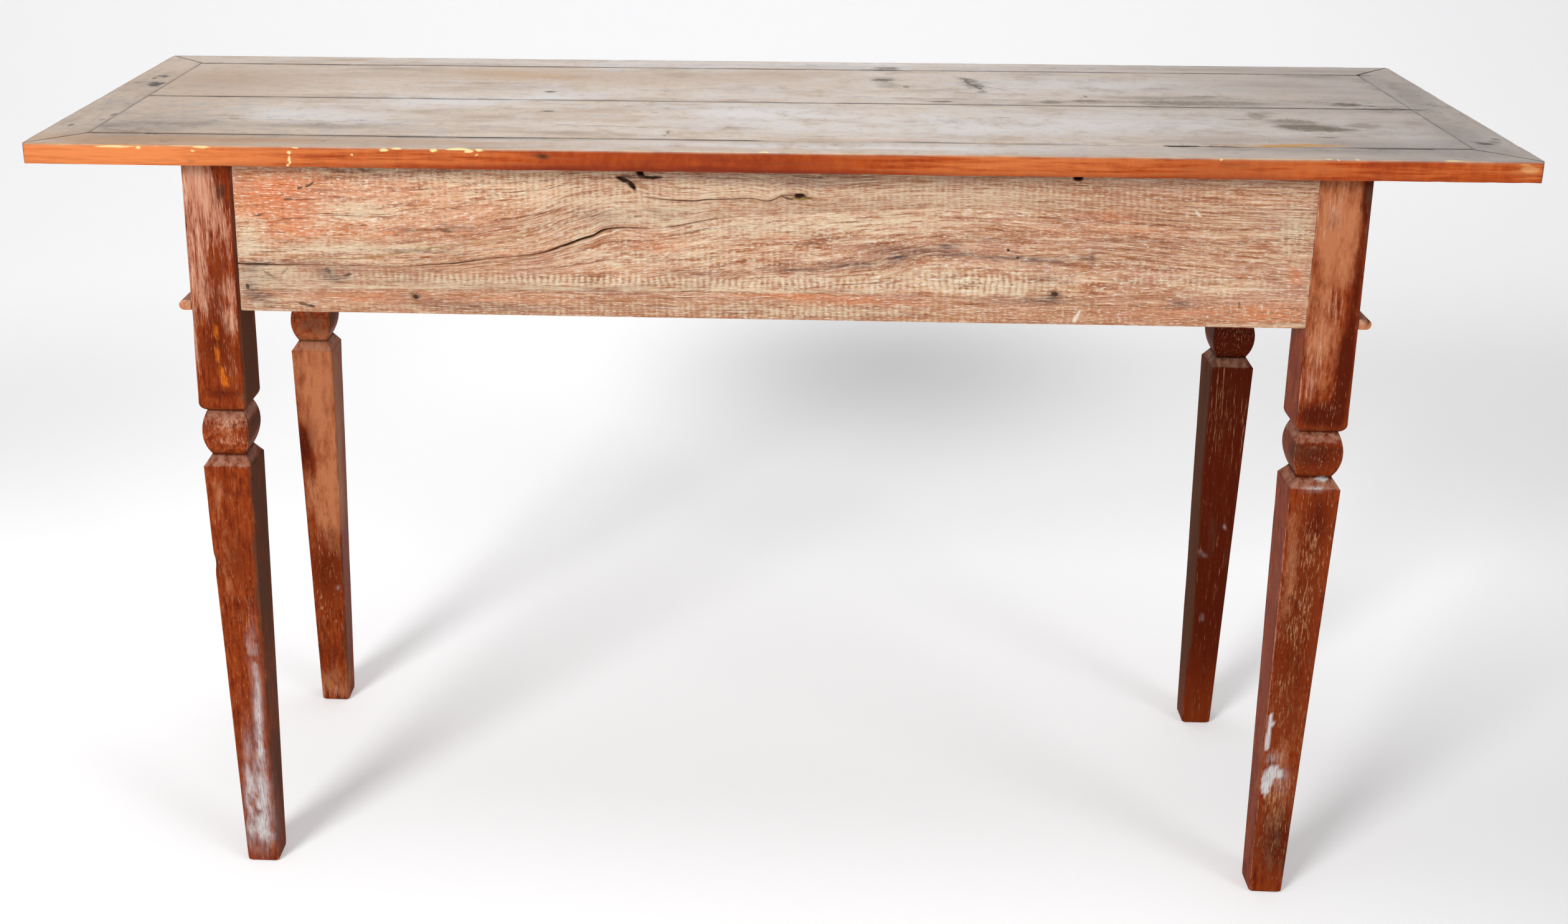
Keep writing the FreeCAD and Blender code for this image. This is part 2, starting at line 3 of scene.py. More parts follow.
import bmesh
import bpy
import mathutils
import numpy as np
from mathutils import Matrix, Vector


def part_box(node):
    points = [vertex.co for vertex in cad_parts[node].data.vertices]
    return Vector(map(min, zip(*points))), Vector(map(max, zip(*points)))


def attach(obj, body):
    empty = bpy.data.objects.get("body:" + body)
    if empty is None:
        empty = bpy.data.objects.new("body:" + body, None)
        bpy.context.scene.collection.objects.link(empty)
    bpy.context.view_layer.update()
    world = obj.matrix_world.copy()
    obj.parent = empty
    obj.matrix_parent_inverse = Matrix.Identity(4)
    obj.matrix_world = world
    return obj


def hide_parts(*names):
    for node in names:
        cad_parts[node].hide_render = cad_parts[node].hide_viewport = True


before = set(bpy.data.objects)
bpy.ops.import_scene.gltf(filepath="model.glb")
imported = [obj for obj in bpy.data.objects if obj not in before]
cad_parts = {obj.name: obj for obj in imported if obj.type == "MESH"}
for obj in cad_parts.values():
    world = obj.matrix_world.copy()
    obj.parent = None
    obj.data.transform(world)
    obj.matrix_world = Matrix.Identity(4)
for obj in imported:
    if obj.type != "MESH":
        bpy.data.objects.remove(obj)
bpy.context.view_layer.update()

bl_info = {
    "name": "Kitchen Table With Drawers",
    "version": (1, 0, 0),
    "blender": (4, 5, 0),
    "location": "View3D > Sidebar > Table",
    "description": ("Dresses the jointed kitchen table: worn boards, rough-sawn apron, cut legs, bead, "
                    "drawers and stage"),
    "category": "Object",
}

MM = 0.001
SIDES = {"left": -1, "right": 1}
ROWS = {"plain_side": -1, "drawer_side": 1}


# ---- sizes taken from the frame, in millimetres ------------------------------------------------------
def span(node_name):
    """Lowest and highest corner of a node."""
    low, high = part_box(node_name)
    return np.array(low) / MM, np.array(high) / MM


RAIL_LOW, RAIL_HIGH = span("top_rail_plain_side")
END_LOW, END_HIGH = span("top_end_right")
APRON_LOW, APRON_HIGH = span("apron_plain_side")
LEG_LOW, LEG_HIGH = span("leg_drawer_side_right")
BEAD_LOW, BEAD_HIGH = span("bead_right")
TOP_Z, TOP_UNDER = RAIL_HIGH[2], RAIL_LOW[2]
HALF_LENGTH, HALF_DEPTH = RAIL_HIGH[0], -RAIL_LOW[1]
FIELD_X, FIELD_Y = END_LOW[0], -RAIL_HIGH[1]
PLANK_JOINT = -4.0
APRON_BOTTOM = APRON_LOW[2]
APRON_FACE = APRON_LOW[1]
APRON_BACK = APRON_HIGH[1]
LEG_SIZE = LEG_HIGH[0] - LEG_LOW[0]
LEG_OUT_X, LEG_OUT_Y = LEG_HIGH[0], LEG_HIGH[1]
LEG_IN_X, LEG_IN_Y = LEG_OUT_X - LEG_SIZE, LEG_OUT_Y - LEG_SIZE
BEAD_PROUD = BEAD_HIGH[0] - LEG_OUT_X
BEAD_HEIGHT = BEAD_HIGH[2] - BEAD_LOW[2]

# heights of the leg's cuts, from the apron's lower edge down, and how deep each goes into a face
BLOCK_END = APRON_BOTTOM - 92.5
UPPER_NECK = BLOCK_END - 11.0
CUSHION_MIDDLE = UPPER_NECK - 22.0
LOWER_NECK = CUSHION_MIDDLE - 24.5
TAPER_START = LOWER_NECK - 11.0
UPPER_NECK_CUT, CUSHION_CUT, LOWER_NECK_CUT = 6.3, 0.9, 7.6
OUTER_TAPER, INNER_TAPER, FOOT_BEVEL = 12.5, 3.0, 2.0


# ---- colours and numbers -----------------------------------------------------------------------------
def linear(code):
    """Linear RGBA of an sRGB hex code."""
    parts = [int(code[i:i + 2], 16) / 255 for i in (0, 2, 4)]
    return tuple(p / 12.92 if p <= 0.04045 else ((p + 0.055) / 1.055) ** 2.4 for p in parts) + (1.0,)


def lattice(places, seed):
    """Smooth random values from -1 to 1 at places given in steps of the pattern."""
    cell = np.floor(places).astype(np.int64)
    part = places - cell
    part = part * part * (3 - 2 * part)
    total = np.zeros(len(places))
    for corner in range(8):
        step = np.array([(corner >> axis) & 1 for axis in range(3)])
        at = cell + step
        mixed = at[:, 0] * 73856093 ^ at[:, 1] * 19349663 ^ at[:, 2] * 83492791 ^ (seed + 11) * 40503
        mixed = (mixed ^ (mixed >> 13)) * 1274126177 & 0x7FFFFFFF
        mixed = (mixed ^ (mixed >> 15)) * 668265263 & 0x7FFFFFFF
        value = ((mixed ^ (mixed >> 11)) & 0xFFFF) / 32767.5 - 1
        total += value * np.prod(np.where(step, part, 1 - part), axis=1)
    return total


def random_field(places, size, seed):
    """Two octaves of smooth random values; size is the pattern's step in millimetres on each axis."""
    scaled = places / np.array(size, float)
    return 0.67 * lattice(scaled, seed) + 0.33 * lattice(scaled * 2.1 + 7.3, seed + 1)


def ramp01(value, low, high):
    part = np.clip((value - low) / (high - low), 0, 1)
    return part * part * (3 - 2 * part)


def groove(places, line, half_widths):
    """1 on a line, falling to 0 at its half width, which changes along it."""
    best = np.zeros(len(places))
    for i in range(len(line) - 1):
        a, b = np.array(line[i], float), np.array(line[i + 1], float)
        along = np.clip(((places - a) @ (b - a)) / max(float((b - a) @ (b - a)), 1e-9), 0, 1)
        away = np.linalg.norm(places - a - along[:, None] * (b - a), axis=1)
        wide = half_widths[i] + (half_widths[i + 1] - half_widths[i]) * along
        best = np.maximum(best, 1 - away / np.maximum(wide, 1e-6))
    return best


def patches(places, spots):
    """Sum of soft spots, each (place..., radii..., strength)."""
    total = np.zeros(len(places))
    count = places.shape[1]
    for spot in spots:
        offset = (places - np.array(spot[:count])) / np.array(spot[count:2 * count])
        total += spot[2 * count] * np.exp(-np.sum(offset ** 2, axis=1))
    return total


# ---- meshes ------------------------------------------------------------------------------------------
def store(mesh, name, values):
    """Writes one vector per point, for the materials to read."""
    layer = mesh.attributes.new(name, "FLOAT_VECTOR", "POINT")
    layer.data.foreach_set("vector", np.asarray(values, np.float32).ravel())


def store_fields(mesh, **fields):
    """Writes attributes of three values each; a value is one number, or one for each point."""
    for name, values in fields.items():
        store(mesh, name, np.stack([np.broadcast_to(v, len(mesh.vertices)) for v in values], axis=1))


def points_of(mesh):
    flat = np.empty(len(mesh.vertices) * 3, np.float32)
    mesh.vertices.foreach_get("co", flat)
    return flat.reshape(-1, 3).astype(float) / MM


def normals_of(mesh):
    flat = np.empty(len(mesh.vertices) * 3, np.float32)
    mesh.vertex_normals.foreach_get("vector", flat)
    return flat.reshape(-1, 3).astype(float)


def place_points(mesh, places):
    mesh.vertices.foreach_set("co", (np.asarray(places) * MM).astype(np.float32).ravel())
    mesh.update()


def volume_of(mesh):
    probe = bmesh.new()
    probe.from_mesh(mesh)
    volume = probe.calc_volume(signed=True)
    probe.free()
    return volume


def sweep(name, rings):
    """Closed skin over rings of points, shaped (rings, points, 3), with a flat cap at each end."""
    count, around = rings.shape[:2]
    index = np.arange(count * around).reshape(count, around)
    following = np.roll(index, -1, axis=1)
    quads = np.stack([index[:-1], following[:-1], following[1:], index[1:]], axis=-1).reshape(-1, 4)
    faces = quads.tolist() + [index[0][::-1].tolist(), index[-1].tolist()]
    places = (rings.reshape(-1, 3) * MM).tolist()
    mesh = bpy.data.meshes.new(name)
    mesh.from_pydata(places, [], faces)
    mesh.update()
    if volume_of(mesh) < 0:
        mesh.flip_normals()
        mesh.update()
    return mesh


def finish_piece(mesh, name, material, body, stands_for, smooth_angle=38):
    """Object from a finished mesh, riding on its body and standing for its nodes."""
    mesh.shade_smooth()
    mesh.set_sharp_from_angle(angle=math.radians(smooth_angle))
    piece = bpy.data.objects.new(name, mesh)
    bpy.context.scene.collection.objects.link(piece)
    mesh.materials.clear()
    mesh.materials.append(material)
    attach(piece, body)
    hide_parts(*stands_for)
    return piece


def stepped(low, high, step, extra=()):
    """Even steps from low to high, with closer ones where an extra place asks for them."""
    count = max(2, int(round((high - low) / step)) + 1)
    return np.unique(np.concatenate([np.linspace(low, high, count), [e for e in extra if low < e < high]]))


def rounded_outline(low, high, radii, steps):
    """Ring of (u, w) points round a rectangle.  The radii are the corners' rounds from (low u, low w) on,
    anticlockwise; steps are the point distances on the faces w low, u high, w high and u low."""
    (u0, w0), (u1, w1) = low, high
    centres = [(u0 + radii[0], w0 + radii[0]), (u1 - radii[1], w0 + radii[1]), (u1 - radii[2], w1 - radii[2]),
               (u0 + radii[3], w1 - radii[3])]
    ring = []
    for i, (centre, radius) in enumerate(zip(centres, radii)):
        for k in range(5):
            angle = math.pi * (1 + i / 2) + k / 4 * math.pi / 2
            ring.append((centre[0] + radius * math.cos(angle), centre[1] + radius * math.sin(angle)))
        start = np.array(ring[-1])
        following, turn = centres[(i + 1) % 4], math.pi * (1 + (i + 1) / 2)
        next_radius = radii[(i + 1) % 4]
        stop = np.array([following[0] + next_radius * math.cos(turn),
                         following[1] + next_radius * math.sin(turn)])
        inner = max(1, int(round(np.linalg.norm(stop - start) / steps[i])))
        ring += [tuple(start + (stop - start) * k / inner) for k in range(1, inner)]
    return np.array(ring)


def board_rings(outline, stations, starts, stops, axis):
    """Rings of a board that runs along X or Y.  The outline holds (across, height); starts and stops give,
    for each point of the outline, where the board begins and ends."""
    share = (stations - stations[0]) / (stations[-1] - stations[0])
    along = starts[None, :] + (stops - starts)[None, :] * share[:, None]
    across = np.broadcast_to(outline[:, 0], along.shape)
    height = np.broadcast_to(outline[:, 1], along.shape)
    return np.stack([along, across, height] if axis == "x" else [across, along, height], axis=-1)


def rim_share(places, low, high, reach, cross):
    """1 on a board's long edges, falling off over reach; cross holds the two axes across the board."""
    inside = [np.minimum(places[:, a] - low[a], high[a] - places[:, a]) for a in cross]
    return np.exp(-np.maximum(np.maximum(*inside), 0) / reach)


# ---- materials: one call adds a node -----------------------------------------------------------------
def node(tree, kind, sockets=None, stops=(), points=(), **settings):
    """Adds a node.  Sockets map an input to a value, a socket or another node; stops fill a colour ramp with
    hex codes, and points fill a curve."""
    made = tree.nodes.new(kind)
    for key, value in settings.items():
        setattr(made, key, value)
    for key, value in (sockets or {}).items():
        if isinstance(value, bpy.types.Node):
            value = next(out for out in value.outputs if out.enabled)
        if isinstance(value, bpy.types.NodeSocket):
            tree.links.new(value, made.inputs[key])
        else:
            made.inputs[key].default_value = value
    if stops:
        elements = made.color_ramp.elements
        elements[0].position, elements[0].color = stops[0][0], linear(stops[0][1])
        elements[-1].position, elements[-1].color = stops[-1][0], linear(stops[-1][1])
        for at, colour in stops[1:-1]:
            elements.new(at).color = linear(colour)
    if points:
        curve = made.mapping.curves[0]
        curve.points[0].location, curve.points[-1].location = points[0], points[-1]
        for at in points[1:-1]:
            curve.points.new(*at)
        made.mapping.update()
    return made


def new_material(name):
    material = bpy.data.materials.new(name)
    material.use_nodes = True
    material.node_tree.nodes.clear()
    return material, material.node_tree


def in_millimetres(tree):
    """Object coordinates in millimetres."""
    placed = node(tree, "ShaderNodeTexCoord").outputs["Object"]
    return node(tree, "ShaderNodeMapping", {"Vector": placed, "Scale": (1 / MM,) * 3})


def grain_vector(tree):
    """Millimetres along, across and through the grain, from the piece's own attribute."""
    return node(tree, "ShaderNodeAttribute", attribute_name="grain").outputs["Vector"]


def patterns(tree, space, sizes):
    """Noise in a space of millimetres.  Sizes: name -> (step of the pattern on each axis, detail,
    roughness)."""
    made = {}
    for name, (steps, detail, rough) in sizes.items():
        scaled = node(tree, "ShaderNodeMapping", {"Vector": space, "Scale": [1 / step for step in steps]})
        made[name] = node(tree, "ShaderNodeTexNoise",
                          {"Vector": scaled, "Scale": 1.0, "Detail": detail, "Roughness": rough})
    return made


def pushed(tree, space, pushes, flat=None):
    """A space in which patterns push places about, for ragged rims.  Each push is (pattern, millimetres on
    each axis), and flat takes out an axis at the end."""
    for pattern, reach in pushes:
        space = node(tree, "ShaderNodeVectorMath", {0: pattern.outputs["Color"], 1: reach, 2: space},
                     operation="MULTIPLY_ADD")
    if flat is not None:
        space = node(tree, "ShaderNodeVectorMath", {0: space, 1: flat}, operation="MULTIPLY")
    return space


def layered(tree, colour, layers):
    """Lays paints over a colour, in turn.  A layer is (share, paint), or (value, low, high, most, paint) for
    a share that runs from 0 at low to most at high."""
    for value, *limits, paint in layers:
        if limits:
            low, high, most = limits
            value = node(tree, "ShaderNodeMapRange", {0: value, 1: low, 2: high, 4: most})
        if isinstance(paint, str):
            paint = linear(paint)
        colour = node(tree, "ShaderNodeMix", {0: value, 6: colour, 7: paint}, data_type="RGBA")
    return colour


def marked(tree, colour, space, marks, shift, rim, paint, upright=None, patchy=None):
    """Paints ellipses over a colour.  Marks hold (x, y, half length, half width, lean in degrees, share),
    with z for y where upright gives the middle and the reach in y.  Shift is the mean push of the space,
    rim the distances from the middle where a mark ends and where it is full, and patchy a pattern that
    thins the marks."""
    for x, other, reach, width, lean, most in marks:
        turn = math.radians(lean)
        if upright is None:
            sockets = {"Location": (x + shift[0], other + shift[1], 0.0), "Rotation": (0.0, 0.0, turn),
                       "Scale": (reach, width, 1.0)}
        else:
            sockets = {"Location": (x + shift[0], upright[0], other + shift[1]),
                       "Rotation": (0.0, -turn, 0.0), "Scale": (reach, upright[1], width)}
        place = node(tree, "ShaderNodeMapping", {"Vector": space, **sockets}, vector_type="TEXTURE")
        away = node(tree, "ShaderNodeVectorMath", {0: place}, operation="LENGTH").outputs["Value"]
        share = node(tree, "ShaderNodeMapRange", {0: away, 1: rim[0], 2: rim[1], 4: most})
        if patchy is not None:
            share = node(tree, "ShaderNodeMath", {0: share, 1: patchy}, operation="MULTIPLY", use_clamp=True)
        colour = layered(tree, colour, [(share, paint)])
    return colour


def close_material(tree, colour, roughness, bump_height, bump_mm, specular=0.5, metallic=0.0):
    """Ends a material: its shader, with a bump of so many millimetres where the height is 1."""
    bump = node(tree, "ShaderNodeBump", {"Height": bump_height, "Distance": bump_mm * MM, "Strength": 1.0})
    surface = node(tree, "ShaderNodeBsdfPrincipled",
                   {"Base Color": colour, "Roughness": roughness, "Normal": bump,
                    "Specular IOR Level": specular, "Metallic": metallic, "IOR": 1.5})
    node(tree, "ShaderNodeOutputMaterial", {"Surface": surface})


def read_fields(tree, names=("marks", "tints", "tones")):
    """The pieces' own shares, three to each attribute."""
    shares = []
    for name in names:
        field = node(tree, "ShaderNodeAttribute", attribute_name=name).outputs["Vector"]
        shares += list(node(tree, "ShaderNodeSeparateXYZ", {0: field}).outputs)
    return shares


def weathered_boards(finish):
    """Hardwood boards of the top, hand-planed, once varnished and long since worn grey.  The eye sees a pale
    grey-taupe skin with a faint long figure, a painted lilac sheen where the boards reflect the white paper,
    a painted grey reflection toward the right end, brown varnish left near the rims, olive stains, dirt in
    the joints, and a glossy orange-red varnish on the outer edges."""
    material, tree = new_material("weathered_varnished_boards")
    grain, placed = grain_vector(tree), in_millimetres(tree)
    dark, edge, worn, warm, golden, stain, painted_sheen, shade, deep = read_fields(tree)
    n = patterns(tree, grain, {"figure": ((150, 30, 30), 6.0, 0.62), "fibre": ((26, 1.1, 1.1), 3.0, 0.7),
                               "mottle": ((26, 24, 24), 8.0, 0.74), "soil": ((9, 13, 13), 6.0, 0.7),
                               "checks": ((95, 1.5, 1.5), 2.0, 0.5), "streak": ((85, 4.2, 4.2), 5.0, 0.64),
                               "specks": ((5, 4, 4), 5.0, 0.7)})
    key = {name: node(tree, "ShaderNodeMath", {0: share, 1: amount, 2: pattern}, operation="MULTIPLY_ADD")
           for name, share, amount, pattern in (
               ("painted_sheen", painted_sheen, 0.36, n["mottle"]), ("warm", warm, 0.5, n["figure"]),
               ("shade", shade, 0.42, n["mottle"]), ("stain", stain, 0.42, n["mottle"]),
               ("deep", deep, 0.45, n["streak"]), ("lit", warm, 0.5, n["streak"]))}
    skin = node(tree, "ShaderNodeValToRGB", {0: n["figure"]},
                stops=[(0.3, "a6907e"), (0.44, "c0ac9a"), (0.56, "d0bead"), (0.72, "dccfc3")])
    brushed = node(tree, "ShaderNodeMix", {0: 0.5, 2: n["streak"], 3: n["soil"]}, data_type="FLOAT")
    tint = node(tree, "ShaderNodeValToRGB", {0: brushed},
                stops=[(0.3, "8a2c06"), (0.44, "a23e0a"), (0.56, "ba4f12"), (0.72, "d07030")])
    tint = layered(tree, tint,
                   [(key["lit"], 0.58, 0.98, 0.9, "ea8a4c"), (key["deep"], 0.58, 0.92, 0.85, "741f06")])
    position = node(tree, "ShaderNodeSeparateXYZ", {0: placed}).outputs
    # painted reflection: the boards turn greyer toward the right end, where they reflect the grey paper
    painted_grey_reflection = node(tree, "ShaderNodeMapRange", {0: position["X"], 1: GREYER_FROM, 2: GREYEST_AT, 4: 0.48})
    uneven = node(tree, "ShaderNodeMapRange", {0: n["mottle"], 1: 0.35, 2: 0.65, 3: 1.25, 4: 0.65})
    painted_grey_reflection = node(tree, "ShaderNodeMath", {0: painted_grey_reflection, 1: uneven}, operation="MULTIPLY")
    # painted sheen: the pale lilac layer dad6d6 stands for the boards reflecting the white paper
    colour = layered(tree, skin,
                     [(n["fibre"], 0.46, 0.3, 0.32, "8d7868"), (n["streak"], 0.44, 0.3, 0.22, "9a8775"),
                      (n["soil"], 0.5, 0.34, 0.38, "a18e80"), (key["painted_sheen"], 0.54, 0.86, 0.85, "dad6d6"),
                      (n["mottle"], 0.45, 0.32, 0.5, "968372"),
                      (key["warm"], 0.58, 0.96, 0.9, finish["warm_varnish"]),
                      (key["shade"], 0.58, 0.96, 0.9, "7d7067"), (painted_grey_reflection, "8d898a"),
                      (key["stain"], 0.61, 0.79, 0.5, "6a5a46"), (n["specks"], 0.35, 0.28, 0.6, "6b594a"),
                      (golden, finish["fresh_wood"]), (n["checks"], 0.32, 0.26, 0.45, "5a493c"), (edge, tint),
                      (worn, "e6c79a")])
    # dirt in the three joints that run the length of the field
    crooked = node(tree, "ShaderNodeMath", {0: n["streak"], 1: 2.0, 2: position["Y"]},
                   operation="MULTIPLY_ADD")
    from_middle = node(tree, "ShaderNodeMath", {0: position["X"]}, operation="ABSOLUTE")
    within = node(tree, "ShaderNodeMapRange", {0: from_middle, 1: FIELD_X, 2: FIELD_X - 2.0})
    worked_in = node(tree, "ShaderNodeMapRange", {0: n["figure"], 1: 0.36, 2: 0.58, 3: 0.25, 4: 0.78})
    dirty = node(tree, "ShaderNodeMath", {0: within, 1: worked_in}, operation="MULTIPLY")
    for line in (-FIELD_Y, PLANK_JOINT, FIELD_Y):
        on_line = node(tree, "ShaderNodeMath", {0: crooked, 1: line + 1.0, 2: DIRT_HALF_WIDTH},
                       operation="COMPARE")
        share = node(tree, "ShaderNodeMath", {0: on_line, 1: dirty}, operation="MULTIPLY")
        colour = layered(tree, colour, [(share, "4b3d33")])
    # stains, bruises and old nail marks, each an ellipse with a ragged rim
    level = (1.0, 1.0, 0.0)
    wide = pushed(tree, placed, [(n["soil"], (26.0, 30.0, 0.0)), (n["fibre"], (10.0, 14.0, 0.0))], level)
    ragged = pushed(tree, placed, [(n["specks"], (8.0, 8.0, 0.0))], level)
    patchy = node(tree, "ShaderNodeMapRange", {0: n["specks"], 1: 0.36, 2: 0.56, 3: 0.6, 4: 1.2})
    colour = marked(tree, colour, wide, TOP_BLOTS, (18.0, 22.0), (1.3, 0.65), "5e4f3b", patchy=patchy)
    colour = marked(tree, colour, ragged, TOP_MARKS, (4.0, 4.0), (1.3, 0.7), "33261c")
    colour = layered(tree, colour, [(dark, "20150f")])
    # chips of the edge varnish, down to the old pale yellow ground
    chipped = pushed(tree, placed, [(n["fibre"], (6.0, 0.0, 2.6)), (n["specks"], (4.0, 0.0, 1.0))])
    chips = [(x, z, reach + 0.6, width + 0.35, 0.0, share) for x, z, reach, width, share in EDGE_CHIPS]
    colour = marked(tree, colour, chipped, chips, (5.0, 1.8), (1.1, 0.75), "f6dd9c",
                    upright=(-HALF_DEPTH, 5.0))
    rough = node(tree, "ShaderNodeMapRange", {0: n["mottle"], 1: 0.3, 2: 0.7, 3: 0.3, 4: 0.46})
    height = node(tree, "ShaderNodeMath", {0: n["fibre"], 1: 0.5, 2: n["streak"]}, operation="MULTIPLY_ADD")
    close_material(tree, colour, rough, height, 0.2, specular=0.22)
    return material


def rough_sawn_face(finish):
    """Rough-sawn hardwood board, whitewashed once and rubbed.  The eye sees fine streaks that flow round a
    long split, saw ticks across the grain about 6 mm apart that hold cream wash, orange patches, and
    grey-brown stains."""
    material, tree = new_material("rough_sawn_whitewashed_board")
    grain, placed = grain_vector(tree), in_millimetres(tree)
    fields = read_fields(tree, ("marks", "tints", "rows", "splits"))
    dark, olive, chalk, orange, pale, stain, teeth_row, gap_row, pale_line, *split_widths = fields
    n = patterns(tree, grain, {"streak": ((44, 2.3, 2.3), 6.0, 0.72), "fibre": ((9, 0.8, 0.8), 3.0, 0.7),
                               "lines": ((60, 1.3, 1.3), 3.0, 0.62), "torn": ((17, 1.7, 1.7), 5.0, 0.74),
                               "broad": ((130, 12, 12), 5.0, 0.62)})
    n |= patterns(tree, placed, {"blots": ((13, 13, 7), 6.0, 0.74), "runs": ((4.2, 4.2, 11), 4.0, 0.66),
                                 "rub": ((36, 36, 16), 5.0, 0.62)})
    # saw ticks, bent a little
    bent = pushed(tree, placed, [(n["rub"], (9.0, 0.0, 0.0))])
    comb = node(tree, "ShaderNodeTexWave",
                {"Vector": bent, "Scale": 2 * math.pi / TICK_SPACING / 20, "Distortion": 1.2, "Detail": 1.0,
                 "Detail Scale": 0.6}, wave_type="BANDS", bands_direction="X").outputs["Fac"]
    reach = node(tree, "ShaderNodeMath", {0: teeth_row, 1: 0.26, 2: 0.04}, operation="MULTIPLY_ADD")
    wash, tick = n["torn"], n["runs"]
    for share, amount in ((n["blots"], 0.7), (comb, reach), (pale, 0.38)):
        wash = node(tree, "ShaderNodeMath", {0: share, 1: amount, 2: wash}, operation="MULTIPLY_ADD")
    for share, amount in ((comb, 0.13), (teeth_row, 0.24)):
        tick = node(tree, "ShaderNodeMath", {0: share, 1: amount, 2: tick}, operation="MULTIPLY_ADD")
    between = node(tree, "ShaderNodeMapRange", {0: comb, 1: 0.55, 2: 0.1})
    gap = node(tree, "ShaderNodeMath", {0: between, 1: gap_row}, operation="MULTIPLY")
    drawn = node(tree, "ShaderNodeMix", {0: 0.5, 2: n["streak"], 3: n["torn"]}, data_type="FLOAT")
    key = {name: node(tree, "ShaderNodeMath", {0: orange, 1: amount, 2: pattern}, operation="MULTIPLY_ADD")
           for name, amount, pattern in (("glow", 0.42, drawn), ("ember", 0.22, n["torn"]))}
    pooled = node(tree, "ShaderNodeMapRange", {0: n["torn"], 1: 0.34, 2: 0.6, 3: 1.3, 4: 0.25})
    soot = node(tree, "ShaderNodeMath", {0: stain, 1: pooled}, operation="MULTIPLY", use_clamp=True)
    height_at = node(tree, "ShaderNodeSeparateXYZ", {0: placed}).outputs["Z"]
    wavering = node(tree, "ShaderNodeSeparateXYZ", {0: grain}).outputs["Y"]
    for pattern, reach in ((n["broad"], 3.0), (n["streak"], 2.4)):
        wavering = node(tree, "ShaderNodeMath", {0: pattern, 1: reach, 2: wavering}, operation="MULTIPLY_ADD")
    wood = node(tree, "ShaderNodeValToRGB", {0: n["streak"]},
                stops=[(0.33, "874a2f"), (0.42, "b3734e"), (0.5, "cc9673"), (0.57, "e2b895"),
                       (0.67, "f5dcbf")])
    colour = layered(tree, wood,
                     [(n["rub"], 0.46, 0.62, 0.5, "cc9a84"), (n["broad"], 0.46, 0.34, 0.55, "b27450"),
                      (height_at, BAND_TOP + 1, BAND_TOP - 2, 0.5, "c08560"),
                      (key["glow"], 0.58, 0.82, 0.9, finish["orange_streak"]),
                      (wash, 0.92, 1.12, 0.8, finish["cream_wash"]), (gap, "a0623f"),
                      (tick, 0.72, 0.88, 0.62, "ecdcc2"), (key["ember"], 0.66, 0.76, 0.8, "c9602a"),
                      (n["lines"], 0.42, 0.31, 0.8, "80472c"), (n["torn"], 0.42, 0.31, 0.85, "854b2e"),
                      (n["fibre"], 0.55, 0.66, 0.85, "f7ecd9"), (n["fibre"], 0.42, 0.31, 0.6, "6f4029"),
                      (soot, finish["grey_stain"]), (olive, "8f6f30"), (chalk, "efe2cf"),
                      (pale_line, "efdcba")])
    # a split is open where its level line runs, as wide as the board says; its inside is painted near black
    # as painted shade, and its brown lips are painted shadow, made ragged by the torn fibres
    for level, width in zip(SPLIT_LEVELS, split_widths):
        off = node(tree, "ShaderNodeMath", {0: wavering, 1: level + 1.5 + 1.2}, operation="SUBTRACT")
        off = node(tree, "ShaderNodeMath", {0: off}, operation="ABSOLUTE")
        inside = node(tree, "ShaderNodeMath", {0: width, 1: off}, operation="SUBTRACT")
        torn = node(tree, "ShaderNodeMath", {0: n["torn"], 1: 2.6, 2: inside}, operation="MULTIPLY_ADD")
        colour = layered(tree, colour, [(torn, 0.1, 1.6, 0.7, "865030"), (torn, 1.2, 1.75, 0.92, "38220f")])
    # nail holes, bruises and the torn notch, each an ellipse with a ragged rim
    ragged = pushed(tree, placed, [(n["runs"], (3.0, 0.0, 3.0))], (1.0, 0.0, 1.0))
    colour = marked(tree, colour, ragged, SAWN_MARKS, (1.5, 1.5), (1.25, 0.75), "3a2415", upright=(0.0, 1.0))
    colour = layered(tree, colour, [(dark, "26160c")])
    fibres = node(tree, "ShaderNodeMath", {0: n["fibre"], 1: n["torn"]}, operation="ADD")
    teeth = node(tree, "ShaderNodeMath", {0: comb, 1: 0.3}, operation="MULTIPLY")
    height = node(tree, "ShaderNodeMath", {0: fibres, 1: teeth}, operation="ADD")
    close_material(tree, colour, 0.85, height, 0.5, specular=0.2)
    return material


